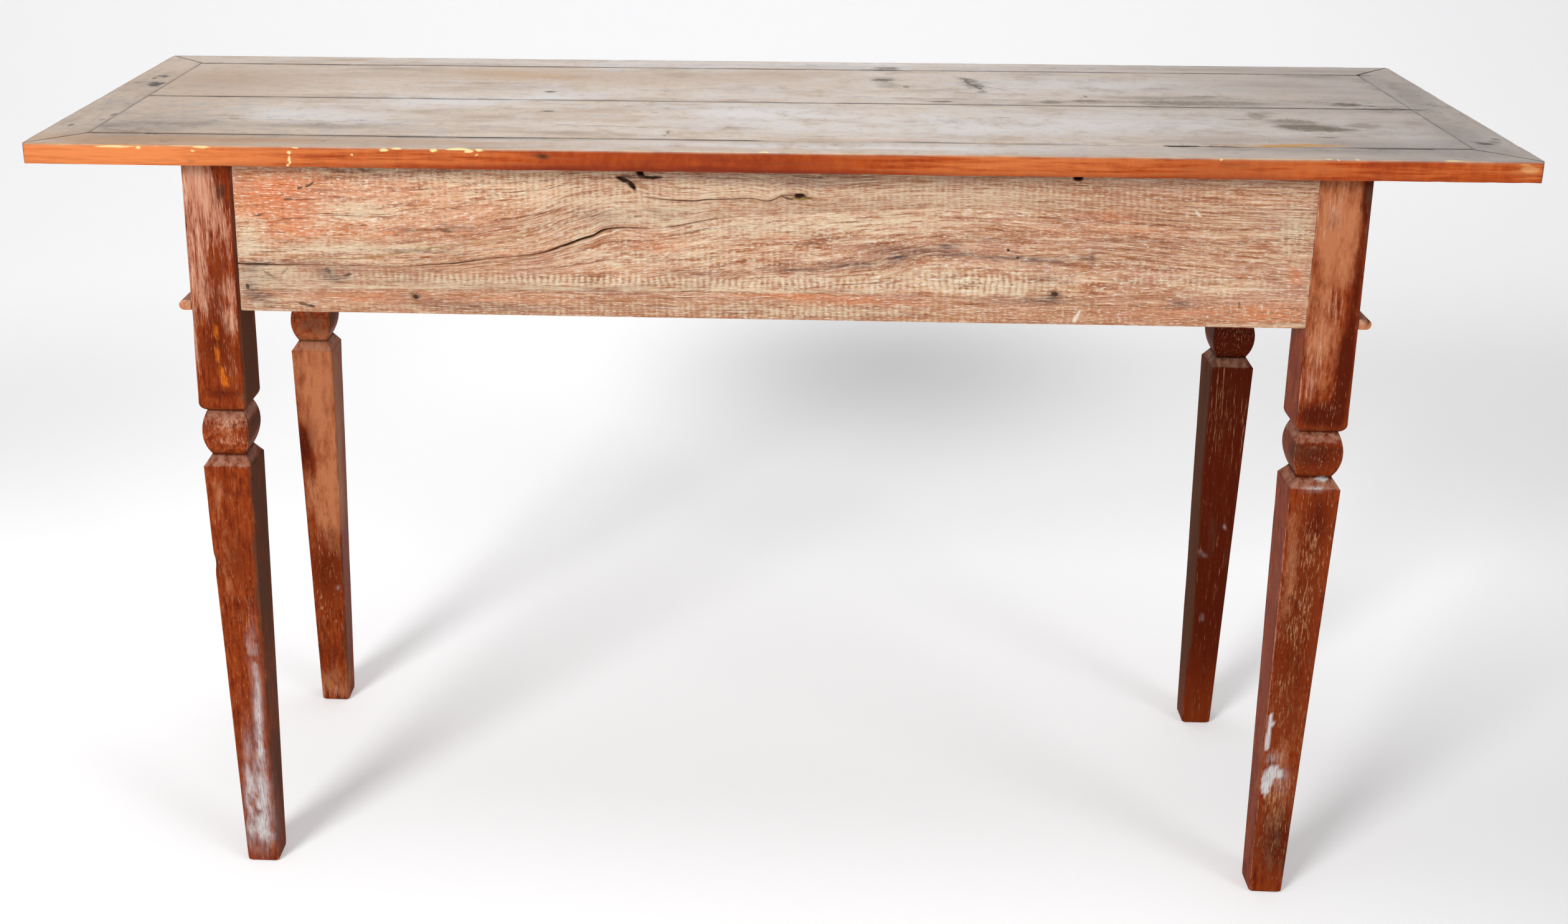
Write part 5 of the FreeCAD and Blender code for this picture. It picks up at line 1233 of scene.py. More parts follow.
# finish of single legs: kind -> leg -> soft spots (x, y, z, radii x y z, strength)
LEG_FINISH = {
    "rub": {FRONT_LEFT: [(-534, -197, 738, 18, 12, 34, 0.64), (-541, -197, 655, 10, 12, 60, 0.46),
            (-522, -197, 700, 16, 12, 34, 0.36), (-507, -197, 680, 8, 12, 50, 0.3),
            (-510, -197, 600, 9, 12, 15, 0.5), (-545.5, -197, 560, 3, 12, 40, 0.45),
            (-512, -197, 556, 14, 12, 26, 0.28), (-528, -197, 625, 16, 12, 30, 0.34),
            (-508, -197, 632, 6, 12, 14, 0.35), (-520, -197, 495, 26, 12, 7, 0.48),
            (-520, -197, 477, 26, 12, 7, 0.34), (-520, -190, 300, 16, 12, 60, 0.18),
            (-522, -188, 20, 20, 12, 20, 0.2)],
        FRONT_RIGHT: [(516, -197, 725, 22, 12, 34, 0.34), (514, -197, 606, 16, 12, 40, 0.27),
            (509, -197, 556, 10, 12, 26, 0.36), (524, -197, 640, 14, 12, 30, 0.22),
            (520, -197, 526, 20, 12, 5, 0.3), (503, -195, 300, 5, 12, 120, 0.25),
            (538, -195, 240, 4, 12, 90, 0.2), (520, -197, 478, 22, 12, 8, 0.3),
            (517, -197, 493, 20, 12, 6, 0.36)],
        BACK_LEFT: [(-520, 150, 430, 30, 12, 40, 0.15), (-520, 150, 12, 30, 30, 10, 0.3)],
        BACK_RIGHT: [(520, 150, 486, 26, 12, 20, 0.15)]},
    "deep": {FRONT_LEFT: [(-522, -197, 620, 10, 12, 56, 0.35), (-534, -197, 640, 4, 12, 24, 0.18),
            (-512, -197, 668, 6, 12, 22, 0.24), (-532, -197, 575, 14, 12, 30, 0.36),
            (-510, -197, 560, 12, 12, 28, 0.22), (-501, -197, 640, 2.2, 12, 110, 0.9),
            (-514, -197, 728, 9, 12, 22, 0.3), (-525, -197, 527, 24, 12, 6, 0.45),
            (-520, -190, 350, 20, 20, 34, 0.3), (-528, -190, 410, 10, 20, 30, 0.15)],
        FRONT_RIGHT: [(544, -197, 742, 6, 12, 26, 0.9), (542, -197, 655, 5, 12, 60, 0.6),
            (538, -197, 570, 8, 12, 44, 0.85), (520, -197, 527, 22, 12, 13, 0.75),
            (514, -197, 715, 7, 12, 12, 0.3), (510, -197, 655, 9, 12, 12, 0.25),
            (520, -190, 300, 30, 30, 170, 0.4), (530, -190, 60, 30, 30, 50, 0.45),
            (520, -190, 486, 30, 12, 14, 0.6), (530, -190, 420, 12, 20, 30, 0.35)],
        BACK_LEFT: [(-541, 150, 335, 9, 12, 26, 0.8), (-520, 150, 180, 30, 12, 60, 0.4),
            (-532, 150, 300, 8, 12, 30, 0.3)],
        BACK_RIGHT: [(520, 150, 300, 60, 20, 260, 0.85), (520, 150, 430, 60, 20, 60, 0.25),
            (520, 150, 100, 60, 20, 90, 0.1), (520, 170, 380, 60, 40, 120, 0.2)]},
    "gold": {FRONT_LEFT: [(-520, -197, 740, 22, 12, 30, 0.3), (-532, -190, 340, 10, 20, 40, 0.25),
            (-518, -190, 260, 10, 20, 30, 0.22), (-532, -190, 425, 18, 20, 24, 0.35),
            (-520, -197, 486, 26, 12, 20, 0.35), (-520, -188, 14, 30, 12, 12, 0.3)],
        FRONT_RIGHT: [(518, -197, 715, 26, 12, 60, 0.95), (514, -197, 600, 22, 12, 70, 0.55),
            (508, -190, 385, 8, 20, 50, 0.55), (510, -190, 330, 8, 20, 40, 0.35),
            (520, -188, 250, 20, 20, 80, 0.18), (522, -188, 110, 20, 20, 90, 0.4)],
        BACK_LEFT: [(-520, 160, 420, 40, 40, 70, 0.85), (-512, 155, 265, 30, 30, 60, 0.9),
            (-505, 160, 345, 18, 30, 40, 0.48), (-520, 150, 20, 40, 30, 26, 0.55)]},
    "fleck": {FRONT_LEFT: [(-524, -195, 330, 20, 12, 90, 0.45), (-520, -197, 560, 30, 12, 60, 0.45),
            (-520, -197, 486, 30, 12, 22, 0.5), (-541, -195, 380, 8, 12, 60, 0.5),
            (-520, -190, 200, 30, 12, 180, 0.3)],
        FRONT_RIGHT: [(520, -190, 486, 30, 30, 22, 0.6), (526, -190, 380, 30, 20, 90, 0.8),
            (520, -190, 240, 30, 20, 130, 0.7), (520, -190, 100, 30, 20, 90, 0.75),
            (520, -197, 540, 30, 12, 22, 0.6)],
        BACK_LEFT: [(-520, 150, 200, 30, 20, 60, 0.6), (-520, 150, 486, 30, 20, 22, 0.4),
            (-520, 150, 90, 30, 20, 60, 0.35)],
        BACK_RIGHT: [(522, 150, 400, 30, 20, 90, 0.8), (522, 150, 486, 30, 20, 22, 0.8),
            (520, 150, 150, 30, 20, 120, 0.3)]},
    "orange": {FRONT_LEFT: [(-525.5, -197, 584, 2.2, 10, 14, 0.95), (-526.5, -197, 566, 2.0, 10, 9, 0.75),
            (-523, -197, 548, 2.4, 10, 8, 0.95), (-520, -197, 539, 4.0, 10, 7, 0.95)]},
    "paint": {FRONT_LEFT: [(-511, -190, 215, 3.4, 14, 46, 0.6), (-513, -188, 150, 3.8, 14, 46, 0.85),
            (-526, -188, 105, 4.0, 14, 44, 0.6), (-518, -188, 60, 11, 14, 34, 0.72),
            (-514, -188, 95, 7, 14, 34, 0.4), (-520, -188, 36, 13, 14, 14, 0.78),
            (-511, -188, 133, 2.4, 14, 1.8, 1.4), (-530, -188, 70, 3, 14, 40, 0.4),
            (-517, -192, 250, 2.4, 12, 16, 0.3)],
        FRONT_RIGHT: [(512, -188, 158, 6, 14, 5, 0.5), (524, -188, 132, 5, 14, 12, 0.35),
            (524, -197, 452, 10, 8, 1.2, 0.9)], BACK_LEFT: [(-508, 150, 150, 2.4, 12, 2.0, 0.8)],
        BACK_RIGHT: [(507, 150, 222, 1.8, 12, 1.6, 1.3), (512, 150, 220, 1.6, 12, 1.4, 1.2),
            (531, 150, 255, 1.2, 12, 1.4, 0.9), (515, 150, 140, 1.2, 12, 3, 0.7)]},
    "white": {FRONT_RIGHT: [(505.5, -188, 194, 3.4, 14, 18, 1.0), (504.5, -188, 174, 2.4, 14, 9, 0.9),
            (514.5, -188, 140, 8.0, 14, 9, 1.2), (507.5, -188, 127, 5.0, 14, 13, 1.1),
            (517.5, -188, 134, 1.6, 14, 3.2, -1.4), (513.5, -188, 139, 0.9, 14, 6, -0.7),
            (509.5, -188, 128, 0.8, 14, 6, -0.6), (530, -192, 460, 5.5, 8, 2.0, 1.2)]},
    "brown": {FRONT_LEFT: [(-511, -197, 730, 7, 6, 12, 0.7), (-499.5, -172, 620, 2.5, 60, 300, 1.0),
            (-502.5, -172, 300, 4, 60, 160, 0.75), (-502.5, -172, 80, 4, 60, 100, 0.6)],
        FRONT_RIGHT: [(545, -197, 742, 5, 12, 12, 1.0), (546, -197, 700, 2.5, 12, 30, 0.8),
            (501, -172, 486, 6, 40, 30, 0.5), (508, -190, 385, 8, 14, 40, 0.35),
            (520, -190, 70, 30, 14, 60, 0.45), (516, -197, 484, 22, 20, 14, 0.4)],
        BACK_LEFT: [(-499.5, 175, 420, 3, 60, 200, 0.45), (-502, 175, 150, 4, 60, 160, 0.4),
            (-520, 160, 484, 30, 30, 18, 0.62), (-534, 150, 345, 12, 12, 30, 0.35),
            (-520, 150, 60, 30, 12, 60, 0.3)],
        BACK_RIGHT: [(499.5, 175, 400, 3, 60, 300, 0.75), (502, 175, 120, 4, 60, 200, 0.75),
            (520, 150, 240, 30, 12, 40, 0.3)]}, }


# stretch of the figure along single legs, and scratches on them (x, z)
LEG_FIGURE = {BACK_RIGHT: 2.8}
LEG_SCRATCHES = {
    BACK_LEFT: [([(-540, 147), (-528.7, 137), (-517, 122)], [0.9, 1.3, 0.8], 0.5),
        ([(-541, 137), (-526.4, 122), (-510.5, 103)], [0.9, 1.4, 0.8], 0.5),
        ([(-537.8, 156), (-531, 145), (-524, 128)], [0.8, 1.1, 0.8], 0.4),
        ([(-540, 124), (-528.7, 111), (-522, 98)], [0.8, 1.1, 0.8], 0.4)]}


class TABLE_OT_legs(bpy.types.Operator):
    """Builds the four legs with their sawn cushions, tapers, worn corners and scars"""
    bl_idname = "table.legs"
    bl_label = "Legs"

    def execute(self, context):
        material = worn_varnish(finish_colours(context))
        for number, (side, row) in enumerate((s, r) for s in SIDES for r in ROWS):
            self.leg(side, row, number, context.scene.table_wear, material)
        return {"FINISHED"}

    def leg(self, side, row, number, wear, material):
        rings = []
        for z, cut, taper in leg_stations():
            radius = 1.3 + 1.2 * (z < 6)
            outer, inner = cut + OUTER_TAPER * taper, cut + INNER_TAPER * taper
            ring = rounded_outline((LEG_IN_X + inner, LEG_IN_Y + inner),
                                   (LEG_OUT_X - outer, LEG_OUT_Y - outer), (radius,) * 4, (99.0,) * 4)
            filled = []
            for i in range(4):
                corner = ring[5 * i:5 * i + 5]
                start, stop = corner[-1], ring[(5 * i + 5) % 20]
                filled += [*corner, *[start + (stop - start) * k / 13 for k in range(1, 13)]]
            rings.append([(SIDES[side] * u, ROWS[row] * w, z) for u, w in filled])
        name = "cut_leg_%s_%s" % (row, side)
        mesh = sweep(name, np.array(rings))
        places, normals = points_of(mesh), normals_of(mesh)
        sideways = np.sort(np.abs(normals[:, :2]), axis=1)
        corner = ramp01(sideways[:, 0], 0.15, 0.55)
        uneven = 0.15 + 1.1 * ramp01(random_field(places, (14, 14, 22), 80 + number), 0.1, 0.9)
        worn = corner * wear.edge_wear * uneven
        hollow = 0.35 * ramp01(random_field(places, (24, 24, 60), 90 + number), -0.1, 0.9)
        key = (side, row)
        nicks = patches(places, LEG_NICKS.get(key, []))
        places -= normals * np.clip(worn + hollow + nicks + 0.05, 0, 5)[:, None]
        place_points(mesh, places)
        share = {kind: patches(places, spots.get(key, [])) for kind, spots in LEG_FINISH.items()}
        z = places[:, 2]
        slope = ramp01(z, UPPER_NECK - 12, UPPER_NECK - 9) * (1 - ramp01(z, UPPER_NECK - 1, UPPER_NECK + 0.5))
        slope += ramp01(z, TAPER_START - 0.5, TAPER_START + 0.8) * (1 - ramp01(z, LOWER_NECK - 1, LOWER_NECK))
        necks = np.exp(-np.abs(z - UPPER_NECK) / 1.6) + np.exp(-np.abs(z - LOWER_NECK) / 1.6)
        ridge = np.exp(-np.abs(z - (UPPER_NECK - 13.2)) / 0.9)
        ridge += 0.8 * np.exp(-np.abs(z - (UPPER_NECK - 16.5)) / 0.8)
        ridge *= ramp01(random_field(places, (14, 14, 4), 111 + number), -0.4, 0.3)
        upper = ramp01(z, BLOCK_END + 4, BLOCK_END + 40)
        splits = ramp01(random_field(places, (1.6, 1.6, 70), 120 + number), 0.55, 0.75)
        nick_dark = patches(places,
                            [spot[:6] + (0.9 if spot[6] > 2 else 0.3,) for spot in LEG_NICKS.get(key, [])])
        cushion = ramp01(z, LOWER_NECK, LOWER_NECK + 4) * (1 - ramp01(z, UPPER_NECK - 4, UPPER_NECK))
        saw_lines = ramp01(random_field(places, (26, 26, 0.9), 160 + number), 0.5, 0.9)
        saw_lines *= cushion * ramp01(z, CUSHION_MIDDLE - 8, CUSHION_MIDDLE + 10)
        dark = necks * 0.8 + ridge * 0.55 + upper * 0.7 * splits + nick_dark + saw_lines * 0.7
        rub = share["rub"] + corner * 0.35 - 0.05
        chips = ramp01(share["orange"] * ramp01(random_field(places, (4, 4, 12), 131), -0.6, 0.1), 0.3, 0.6)
        torn = random_field(places, (2.2, 2.2, 2.4), 138)
        paint = share["paint"] * ramp01(random_field(places, (4, 4, 10), 137), -0.9, 0.3)
        paint += 1.6 * ramp01(share["white"] + 0.16 * torn, 0.42, 0.58)
        share["fleck"] = share["fleck"] * ramp01(random_field(places, (12, 12, 30), 140 + number), -0.9, 0.7)
        if key in LEG_SCRATCHES:
            scratched = line_share(places[:, [0, 2]], LEG_SCRATCHES[key], 3.0)
            scratched *= ramp01(random_field(places, (5, 5, 5), 150), -0.8, 0.2)
            share["fleck"] = np.maximum(share["fleck"], scratched)
        grain = places[:,
                       [2, 0, 1]] / np.array([LEG_FIGURE.get(key, 1.0), 1, 1]) + np.array([number * 900.0, 0,
                                                                                           0])
        grain[:, 0] += 1.8 * np.clip(z, LOWER_NECK, UPPER_NECK)
        store(mesh, "grain", grain)
        marks, tints = (dark, rub, paint), (chips, slope * 0.55, share["brown"])
        tones = (share["deep"], share["gold"], share["fleck"])
        for layer, values, most in (("marks", marks, 1), ("tints", tints, 1), ("tones", tones, 1.4)):
            store(mesh, layer, np.clip(np.stack(values, axis=1), 0, most))
        finish_piece(mesh, name, material, "table", ["leg_%s_%s" % (row, side)],
                     smooth_angle=33)


# ---- boards kept in their solids' shape, with eased edges --------------------------------------------
def eased_copy(node_name, piece_name, axis, width, material, body, seed, fields=None):
    """Copy of a node's mesh, merged and with its edges broken by a small bevel."""
    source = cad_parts[node_name].data
    work = bmesh.new()
    work.from_mesh(source)
    bmesh.ops.remove_doubles(work, verts=work.verts, dist=0.00002)
    bmesh.ops.dissolve_limit(work, angle_limit=math.radians(1.0), verts=work.verts, edges=work.edges)
    sharp = [e for e in work.edges if e.is_manifold and e.calc_face_angle(0.0) > math.radians(30)]
    bmesh.ops.bevel(work, geom=sharp, offset=width * MM, segments=2, profile=0.6, affect="EDGES",
                    clamp_overlap=True)
    mesh = bpy.data.meshes.new(piece_name)
    work.to_mesh(mesh)
    work.free()
    places = points_of(mesh)
    order = {"x": [0, 1, 2], "y": [1, 0, 2], "z": [2, 0, 1]}[axis]
    store(mesh, "grain", places[:, order] + np.array([seed * 613.0, seed * 71.0, 0.0]))
    for layer in ("marks", "tints", "tones"):
        store(mesh, layer, np.tile((fields or {}).get(layer, (0.0, 0.0, 0.0)), (len(places), 1)))
    return finish_piece(mesh, piece_name, material, body, [node_name], smooth_angle=30)


class TABLE_OT_varnished_boards(bpy.types.Operator):
    """Dresses the end aprons, the drawer rails, the divider and the drawer fronts in worn varnish"""
    bl_idname = "table.varnished_boards"
    bl_label = "Varnished Boards"

    def execute(self, context):
        material = shared("rubbed_red_brown_varnish", lambda: worn_varnish(finish_colours(context)))
        plan = [("apron_left", "y", "table"), ("apron_right", "y", "table"),
                ("drawer_rail_lower", "x", "table"), ("drawer_rail_upper", "x", "table"),
                ("drawer_divider", "z", "table"), ("drawer_left_front", "x", "drawer_left"),
                ("drawer_right_front", "x", "drawer_right")]
        worn = {"marks": (0.0, 0.12, 0.0), "tones": (0.18, 0.12, 0.34)}
        for seed, (name, axis, body) in enumerate(plan):
            eased_copy(name, "varnished_" + name, axis, 0.7, material, body, seed, worn)
        return {"FINISHED"}


class TABLE_OT_inner_boards(bpy.types.Operator):
    """Dresses the runners, kickers, guides, stops, buttons and the drawers' boxes in bare wood"""
    bl_idname = "table.inner_boards"
    bl_label = "Inner Boards"

    def execute(self, context):
        material = planed_softwood()
        plan = [(kind + "_" + place, "y", "table") for kind in ("runner", "kicker", "guide")
                for place in ("left", "centre", "right")]
        plan += [("drawer_stops", "x", "table"), ("top_buttons", "y", "table")]
        for side in SIDES:
            body = "drawer_" + side
            plan += [(body + "_side_inner", "y", body), (body + "_side_outer", "y", body),
                     (body + "_back", "x", body), (body + "_bottom", "x", body)]
        for seed, (name, axis, body) in enumerate(plan):
            eased_copy(name, "bare_" + name, axis, 0.5, material, body, seed)
        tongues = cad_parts["mitre_tongues"]
        tongues.data.materials.clear()
        tongues.data.materials.append(planed_softwood(along_x=True))
        return {"FINISHED"}


# ---- what repeats or follows a path: node trees ------------------------------------------------------
def new_tree(name, inputs):
    """Geometry tree with named inputs, each (kind, default), and its input node."""
    tree = bpy.data.node_groups.new(name, "GeometryNodeTree")
    tree.interface.new_socket("Geometry", in_out="INPUT", socket_type="NodeSocketGeometry")
    for label, (kind, default) in inputs.items():
        socket = tree.interface.new_socket(label, in_out="INPUT", socket_type="NodeSocket" + kind)
        if default is not None:
            socket.default_value = default
    tree.interface.new_socket("Geometry", in_out="OUTPUT", socket_type="NodeSocketGeometry")
    return tree, node(tree, "NodeGroupInput").outputs


def close_tree(tree, geometry, given):
    solid = node(tree, "GeometryNodeRealizeInstances", {"Geometry": geometry})
    painted = node(tree, "GeometryNodeSetMaterial", {"Geometry": solid, "Material": given["Material"]})
    node(tree, "NodeGroupOutput", {0: painted})
    return tree


def grown(name, tree, settings, base=None):
    """Plain mesh of a tree's result, its faces outwards."""
    seed = bpy.data.objects.new(name + "_seed", base or bpy.data.meshes.new(name + "_seed"))
    bpy.context.scene.collection.objects.link(seed)
    modifier = seed.modifiers.new(name, "NODES")
    modifier.node_group = tree
    for item in tree.interface.items_tree:
        if item.item_type == "SOCKET" and item.in_out == "INPUT" and item.name in settings:
            modifier[item.identifier] = settings[item.name]
    mesh = bpy.data.meshes.new_from_object(seed.evaluated_get(bpy.context.evaluated_depsgraph_get()))
    mesh.name = name
    seed.modifiers.remove(modifier)
    bpy.data.objects.remove(seed)
    if volume_of(mesh) < 0:
        mesh.flip_normals()
    return mesh


def aimed_points(name, spots):
    """Mesh of loose points, each with the direction it is driven in."""
    mesh = bpy.data.meshes.new(name)
    mesh.from_pydata([[c * MM for c in place] for place, aim in spots], [], [])
    store(mesh, "aim", [aim for place, aim in spots])
    return mesh


def brad_tree():
    """Square cut brads: a four-sided wedge on every point, driven along its aim."""
    tree, given = new_tree("cut_brads",
                           {"Head": ("Float", 2.2 * MM), "Point": ("Float", 1.0 * MM),
                            "Length": ("Float", 22.0 * MM), "Material": ("Material", None)})
    half_diagonal = [node(tree, "ShaderNodeMath", {0: given[key], 1: math.sqrt(0.5)}, operation="MULTIPLY")
                     for key in ("Head", "Point")]
    wedge = node(tree, "GeometryNodeMeshCone",
                 {"Vertices": 4, "Radius Bottom": half_diagonal[0], "Radius Top": half_diagonal[1],
                  "Depth": given["Length"]})
    squared = node(tree, "GeometryNodeTransform", {"Geometry": wedge, "Rotation": (0, 0, math.pi / 4)})
    return close_tree(tree, on_points(tree, given, squared), given)


def screw_tree():
    """Countersunk slotted screws, driven along their aim."""
    tree, given = new_tree("slotted_screws",
                           {"Head": ("Float", 8.0 * MM), "Shank": ("Float", 4.0 * MM),
                            "Head Height": ("Float", 2.5 * MM), "Length": ("Float", 28.0 * MM),
                            "Material": ("Material", None)})
    radius = {key: node(tree, "ShaderNodeMath", {0: given[key], 1: 0.5}, operation="MULTIPLY")
              for key in ("Head", "Shank")}
    head = node(tree, "GeometryNodeMeshCone",
                {"Vertices": 28, "Radius Bottom": radius["Head"], "Radius Top": radius["Shank"],
                 "Depth": given["Head Height"]})
    slot = node(tree, "GeometryNodeMeshCube", {"Size": (0.02, 0.0011, 0.002)})
    slotted = node(tree, "GeometryNodeMeshBoolean", {"Mesh 1": head, "Mesh 2": slot}, operation="DIFFERENCE")
    sunk = node(tree, "ShaderNodeMath", {0: given["Length"], 1: given["Head Height"]}, operation="SUBTRACT")
    shank = node(tree, "GeometryNodeMeshCylinder", {"Vertices": 20, "Radius": radius["Shank"], "Depth": sunk})
    middle = node(tree, "ShaderNodeMath", {0: sunk, 1: 0.5, 2: given["Head Height"]},
                  operation="MULTIPLY_ADD")
    lifted = node(tree, "GeometryNodeTransform",
                  {"Geometry": shank, "Translation": node(tree, "ShaderNodeCombineXYZ", {"Z": middle})})
    both = node(tree, "GeometryNodeJoinGeometry", {"Geometry": slotted})
    tree.links.new(lifted.outputs[0], both.inputs[0])
    return close_tree(tree, on_points(tree, given, both), given)


def on_points(tree, given, instance):
    aim = node(tree, "GeometryNodeInputNamedAttribute", {"Name": "aim"}, data_type="FLOAT_VECTOR")
    turn = node(tree, "FunctionNodeAlignRotationToVector", {"Vector": aim.outputs["Attribute"]}, axis="Z")
    return node(tree, "GeometryNodeInstanceOnPoints",
                {"Points": given["Geometry"], "Instance": instance, "Rotation": turn})


# share of the knob's whole length from the spigot's end, share of its radius, and whether the turning has a
# corner there
KNOB_OUTLINE = [
    (0.0, 0.35, True), (0.413, 0.35, True), (0.418, 0.62, True), (0.44, 0.64, True), (0.452, 0.5, True),
    (0.52, 0.44, False), (0.6, 0.47, False), (0.69, 0.66, False), (0.79, 0.92, False), (0.865, 1.0, False),
    (0.93, 0.92, False), (0.975, 0.66, False), (0.997, 0.24, False), (1.0, 0.02, True)]


def knob_tree():
    """Turned knob: a round section carried along the axis and scaled by the turning's outline."""
    tree, given = new_tree("turned_knob",
                           {"Foot": ("Vector", (0, 0, 0)), "Spigot": ("Float", 20 * MM),
                            "Length": ("Float", 28 * MM), "Radius": ("Float", 17 * MM),
                            "Material": ("Material", None)})
    back = node(tree, "ShaderNodeMath", {0: given["Spigot"], 1: -1.0}, operation="MULTIPLY")
    start, end = [node(tree, "ShaderNodeVectorMath",
                       {0: given["Foot"], 1: node(tree, "ShaderNodeCombineXYZ", {"Y": y})}, operation="ADD")
                  for y in (back, given["Length"])]
    axis = node(tree, "GeometryNodeCurvePrimitiveLine", {"Start": start, "End": end})
    fine = node(tree, "GeometryNodeResampleCurve", {"Curve": axis, "Count": 121})
    share = node(tree, "GeometryNodeSplineParameter").outputs["Factor"]
    outline = node(tree, "ShaderNodeFloatCurve", {"Value": share},
                   points=[(x, y) for x, y, corner in KNOB_OUTLINE])
    for point, (x, y, corner) in zip(outline.mapping.curves[0].points, KNOB_OUTLINE):
        point.handle_type = "VECTOR" if corner else "AUTO"
    outline.mapping.update()
    section = node(tree, "GeometryNodeCurvePrimitiveCircle", {"Resolution": 56, "Radius": given["Radius"]})
    turned = node(tree, "GeometryNodeCurveToMesh",
                  {"Curve": fine, "Profile Curve": section, "Scale": outline, "Fill Caps": True})
    return close_tree(tree, turned, given)


def bead_tree():
    """Strip with a half-round nose, run from one place to another.  Its mitres lean by a share of how far a
    point stands out."""
    tree, given = new_tree("half_round_bead",
                           {"Start": ("Vector", (0, 0, 0)), "End": ("Vector", (1, 0, 0)),
                            "Out": ("Vector", (0, 1, 0)), "Height": ("Float", 10 * MM),
                            "Proud": ("Float", 11.5 * MM), "Start Mitre": ("Float", 0.0),
                            "End Mitre": ("Float", 0.0), "Steps": ("Int", 200),
                            "Material": ("Material", None)})
    nose_points = 14
    index = node(tree, "GeometryNodeInputIndex")
    held = node(tree, "ShaderNodeMath", {0: index, 1: nose_points}, operation="MINIMUM")
    angle = node(tree, "ShaderNodeMath", {0: held, 1: math.pi / nose_points, 2: -math.pi / 2},
                 operation="MULTIPLY_ADD")
    nose = node(tree, "ShaderNodeMath", {0: given["Height"], 1: 0.5}, operation="MULTIPLY")
    flat = node(tree, "ShaderNodeMath", {0: given["Proud"], 1: nose}, operation="SUBTRACT")
    cosine = node(tree, "ShaderNodeMath", {0: angle}, operation="COSINE")
    sine = node(tree, "ShaderNodeMath", {0: angle}, operation="SINE")
    on_nose = node(tree, "ShaderNodeMath", {0: index, 1: nose_points + 0.5}, operation="LESS_THAN")
    last = node(tree, "ShaderNodeMath", {0: index, 1: nose_points + 1.5}, operation="GREATER_THAN")
    turned_over = node(tree, "ShaderNodeMath", {0: last, 1: -2.0, 2: 1.0}, operation="MULTIPLY_ADD")
    rounded = node(tree, "ShaderNodeMath", {0: nose, 1: cosine, 2: flat}, operation="MULTIPLY_ADD")
    out = node(tree, "ShaderNodeMath", {0: rounded, 1: on_nose}, operation="MULTIPLY")
    signed = node(tree, "ShaderNodeMath", {0: sine, 1: turned_over}, operation="MULTIPLY")
    up = node(tree, "ShaderNodeMath", {0: signed, 1: nose}, operation="MULTIPLY")
    ring = node(tree, "GeometryNodeMeshToCurve",
                {"Mesh": node(tree, "GeometryNodeMeshCircle", {"Vertices": nose_points + 3})})
    section = node(tree, "GeometryNodeSetPosition",
                   {"Geometry": ring, "Position": node(tree, "ShaderNodeCombineXYZ", {"X": out, "Y": up})})
    section = node(tree, "GeometryNodeStoreNamedAttribute",
                   {"Geometry": section, "Name": "section", "Value": node(tree, "GeometryNodeInputPosition")},
                   data_type="FLOAT_VECTOR", domain="POINT")
    path = node(tree, "GeometryNodeCurvePrimitiveLine", {"Start": given["Start"], "End": given["End"]})
    path = node(tree, "GeometryNodeResampleCurve", {"Curve": path, "Count": given["Steps"]})
    path = node(tree, "GeometryNodeStoreNamedAttribute",
                {"Geometry": path, "Name": "run",
                 "Value": node(tree, "GeometryNodeSplineParameter").outputs["Factor"]}, data_type="FLOAT",
                domain="POINT")
    strip = node(tree, "GeometryNodeCurveToMesh",
                 {"Curve": path, "Profile Curve": section, "Fill Caps": True})
    run = node(tree, "GeometryNodeInputNamedAttribute", {"Name": "run"},
               data_type="FLOAT").outputs["Attribute"]
    point = node(tree, "GeometryNodeInputNamedAttribute", {"Name": "section"}, data_type="FLOAT_VECTOR")
    at = node(tree, "ShaderNodeSeparateXYZ", {0: point.outputs["Attribute"]})
    whole = node(tree, "ShaderNodeVectorMath", {0: given["End"], 1: given["Start"]}, operation="SUBTRACT")
    unit = node(tree, "ShaderNodeVectorMath", {0: whole}, operation="NORMALIZE")
    mitre = node(tree, "ShaderNodeMix", {0: run, 2: given["Start Mitre"], 3: given["End Mitre"]},
                 data_type="FLOAT")
    lean = node(tree, "ShaderNodeMath", {0: mitre, 1: at.outputs["X"]}, operation="MULTIPLY")
    place = node(tree, "ShaderNodeVectorMath", {0: whole, 1: run, 2: given["Start"]},
                 operation="MULTIPLY_ADD")
    for direction, amount in ((unit, lean), (given["Out"], at.outputs["X"]), (None, at.outputs["Y"])):
        step = (node(tree, "ShaderNodeCombineXYZ", {"Z": amount}) if direction is None
                else node(tree, "ShaderNodeVectorMath", {0: direction, "Scale": amount}, operation="SCALE"))
        place = node(tree, "ShaderNodeVectorMath", {0: place, 1: step}, operation="ADD")
    return close_tree(tree, node(tree, "GeometryNodeSetPosition", {"Geometry": strip, "Position": place}),
                      given)


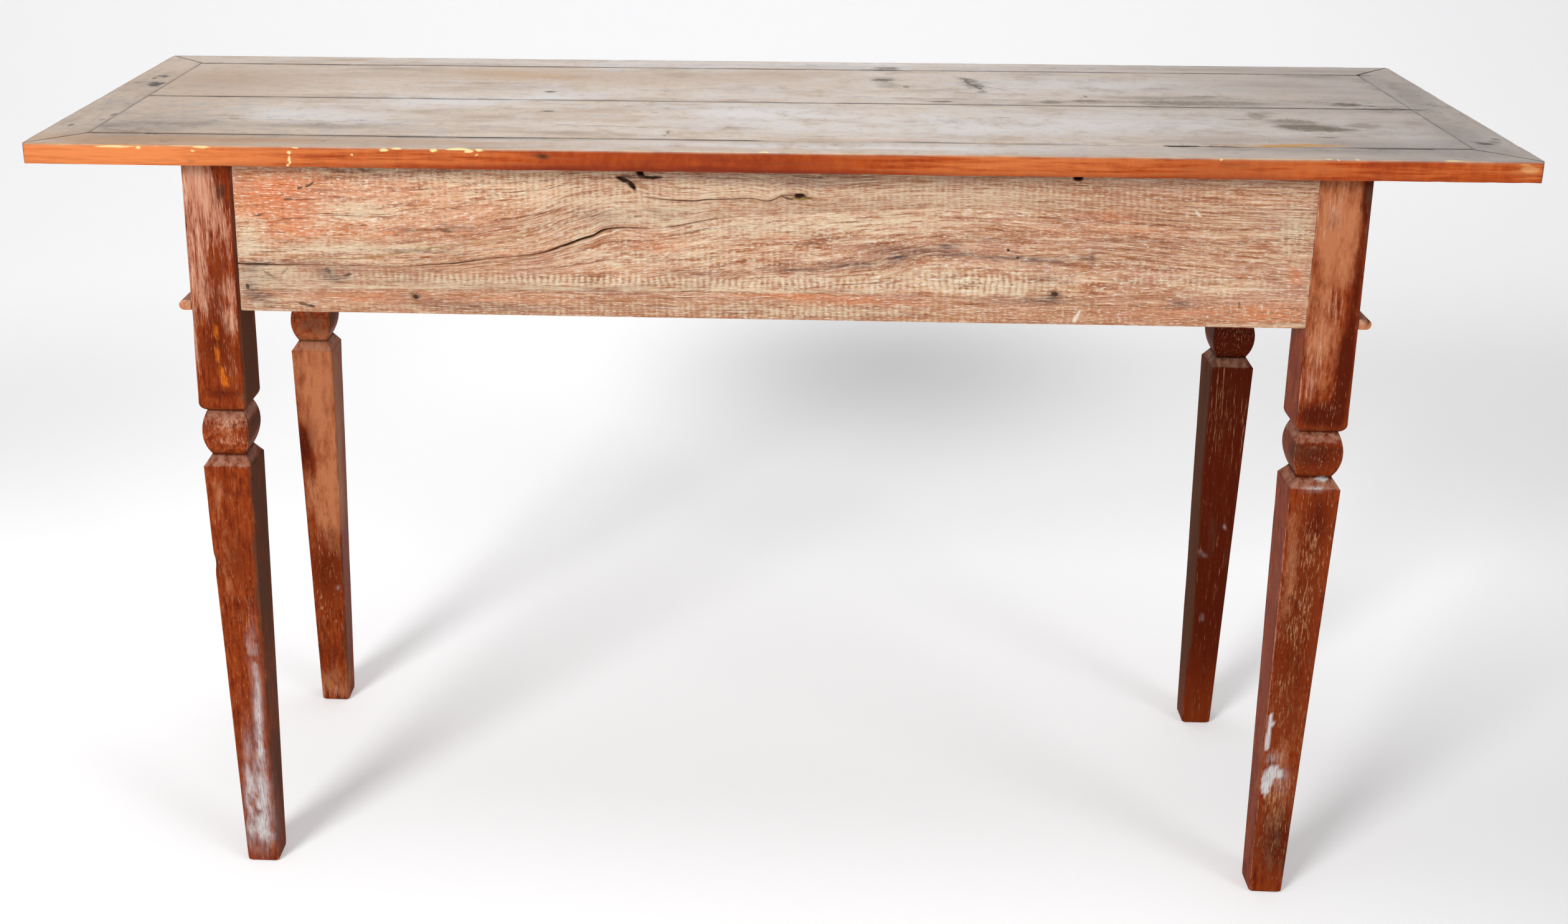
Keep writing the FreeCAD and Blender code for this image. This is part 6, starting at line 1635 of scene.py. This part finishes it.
class TABLE_OT_bead(bpy.types.Operator):
    """Runs the half-round bead along both ends and the drawer side"""
    bl_idname = "table.bead"
    bl_label = "Bead"

    def execute(self, context):
        material = shared("rubbed_red_brown_varnish", lambda: worn_varnish(finish_colours(context)))
        tree = bead_tree()
        middle = BEAD_LOW[2] + BEAD_HEIGHT / 2
        runs = [("bead_" + side, (sign * LEG_OUT_X, -LEG_OUT_Y, middle),
                 (sign * LEG_OUT_X, LEG_OUT_Y, middle), (sign, 0, 0), (0.0, 1.0))
                for side, sign in SIDES.items()]
        runs.append(("bead_drawer_side", (-LEG_OUT_X, LEG_OUT_Y, middle), (LEG_OUT_X, LEG_OUT_Y, middle),
                     (0, 1, 0), (-1.0, 1.0)))
        for number, (name, start, end, out, mitres) in enumerate(runs):
            mesh = grown(name, tree,
                         {"Start": [c * MM for c in start], "End": [c * MM for c in end],
                          "Out": [float(c) for c in out], "Height": BEAD_HEIGHT * MM,
                          "Proud": BEAD_PROUD * MM, "Start Mitre": mitres[0], "End Mitre": mitres[1],
                          "Steps": 150 if number < 2 else 380, "Material": material})
            places, normals = points_of(mesh), normals_of(mesh)
            worn = 0.12 + 0.35 * ramp01(random_field(places, (26, 26, 6), 150 + number), 0.1, 0.9)
            places -= normals * worn[:, None]
            place_points(mesh, places)
            axis = 1 if number < 2 else 0
            store(mesh, "grain", places[:, [axis, 1 - axis, 2]] + np.array([number * 700.0, 0, 0]))
            height = (places[:, 2] - middle) / BEAD_HEIGHT
            end_grain = ramp01(-places[:, 1], LEG_OUT_Y - 1.5, LEG_OUT_Y - 0.6) if number < 2 else 0.0
            rub = 0.2 + 0.35 * ramp01(height, 0.1, 0.4)
            hole = patches(places,
                           [(-554.5, -197, middle + 0.8, 1.5, 3, 1.5, 1.6),
                            (555.5, -197, middle + 3.8, 3.4, 4, 1.3, 1.4)])
            store_fields(mesh, marks=(np.clip(hole, 0, 1), rub, 0.0),
                         tints=(0.0, ramp01(height, 0.3, 0.5) * 0.6, 0.0),
                         tones=(0.0, np.maximum(end_grain, 0.3), 0.5))
            finish_piece(mesh, "half_round_" + name, material, "table", [name],
                         smooth_angle=40)
        return {"FINISHED"}


class TABLE_OT_knobs(bpy.types.Operator):
    """Turns the two drawer knobs"""
    bl_idname = "table.knobs"
    bl_label = "Knobs"

    def execute(self, context):
        material = shared("rubbed_red_brown_varnish", lambda: worn_varnish(finish_colours(context)))
        tree = knob_tree()
        for number, side in enumerate(SIDES):
            node_name = "drawer_%s_knob" % side
            low, high = span(node_name)
            foot = ((low[0] + high[0]) / 2, LEG_OUT_Y, (low[2] + high[2]) / 2)
            mesh = grown(node_name, tree,
                         {"Foot": [c * MM for c in foot], "Spigot": (LEG_OUT_Y - low[1]) * MM,
                          "Length": (high[1] - LEG_OUT_Y) * MM,
                          "Radius": (high[0] - low[0]) / 2 * MM - 0.0001, "Material": material})
            places = points_of(mesh)
            store(mesh, "grain", (places - np.array(foot))[:, [1, 0, 2]] + np.array([number * 300.0, 0, 0]))
            away = np.hypot(places[:, 0] - foot[0], places[:, 2] - foot[2])
            rub = 0.34 * ramp01(away, 8, 16) * ramp01(random_field(places, (9, 9, 9), 170 + number), -0.6,
                                                      0.4)
            ring = np.exp(-np.abs(places[:, 1] - LEG_OUT_Y - 1.4) / 0.5) * 0.8
            store_fields(mesh, marks=(ring, rub, 0.0), tints=(0.0, 0.0, 0.0), tones=(0.15, 0.1, 0.4))
            finish_piece(mesh, "turned_" + node_name, material, "drawer_" + side, [node_name],
                         smooth_angle=35)
        return {"FINISHED"}


class TABLE_OT_fasteners(bpy.types.Operator):
    """Drives the brads and screws"""
    bl_idname = "table.fasteners"
    bl_label = "Brads and Screws"

    def execute(self, context):
        material = old_steel()
        brads, screws = brad_tree(), screw_tree()
        middle = BEAD_LOW[2] + BEAD_HEIGHT / 2
        leg_mid_x, leg_mid_y = LEG_OUT_X - LEG_SIZE / 2, LEG_OUT_Y - LEG_SIZE / 2
        spots = [((sign * (LEG_OUT_X + BEAD_PROUD), y, middle), (-sign, 0, 0)) for sign in SIDES.values()
                 for y in np.linspace(-leg_mid_y, leg_mid_y, 4)]
        spots += [((x, LEG_OUT_Y + BEAD_PROUD, middle), (0, -1, 0))
                  for x in np.linspace(-leg_mid_x, leg_mid_x, 5)]
        sets = [("bead_brads", brads, spots, "table")]
        for side in SIDES:
            low, high = span("drawer_%s_bottom_brads" % side)
            middle_y, inset = (low[1] + high[1]) / 2, 1.1
            sets.append(("drawer_%s_bottom_brads" % side, brads,
                         [((x, middle_y, low[2]), (0, 0, 1))
                          for x in (low[0] + inset, (low[0] + high[0]) / 2, high[0] - inset)],
                         "drawer_" + side))
        low, high = span("top_screws")
        sets.append(("top_screws", screws,
                     [((x, y, low[2]), (0, 0, 1)) for x in (low[0] + 4, high[0] - 4)
                      for y in (low[1] + 4, high[1] - 4)], "table"))
        for name, tree, places, body in sets:
            mesh = grown(name, tree, {"Material": material}, aimed_points(name + "_points", places))
            finish_piece(mesh, "driven_" + name, material, body, [name], smooth_angle=25)
        return {"FINISHED"}


class TABLE_PT_pieces(bpy.types.Panel):
    """Buttons that make each piece of the table, and the settings they read"""
    bl_idname = "TABLE_PT_pieces"
    bl_label = "Kitchen Table"
    bl_space_type = "VIEW_3D"
    bl_region_type = "UI"
    bl_category = "Table"

    def draw(self, context):
        for step in STEPS:
            self.layout.operator("table." + step)
        for settings in (context.scene.table_finish, context.scene.table_wear):
            box = self.layout.box()
            for key in type(settings).__annotations__:
                box.prop(settings, key)


STEPS = (
    "stage", "top", "plain_apron", "legs", "varnished_boards", "inner_boards", "bead", "knobs", "fasteners")
CLASSES = (
    TableFinish, TableWear, TABLE_OT_stage, TABLE_OT_top, TABLE_OT_plain_apron, TABLE_OT_legs,
    TABLE_OT_varnished_boards, TABLE_OT_inner_boards, TABLE_OT_bead, TABLE_OT_knobs, TABLE_OT_fasteners,
    TABLE_PT_pieces)


def register():
    for group in CLASSES:
        bpy.utils.register_class(group)
    bpy.types.Scene.table_finish = bpy.props.PointerProperty(type=TableFinish)
    bpy.types.Scene.table_wear = bpy.props.PointerProperty(type=TableWear)


def unregister():
    del bpy.types.Scene.table_finish
    del bpy.types.Scene.table_wear
    for group in reversed(CLASSES):
        bpy.utils.unregister_class(group)


def main():
    register()
    for step in STEPS:
        getattr(bpy.ops.table, step)()


if __name__ == "__main__":
    main()
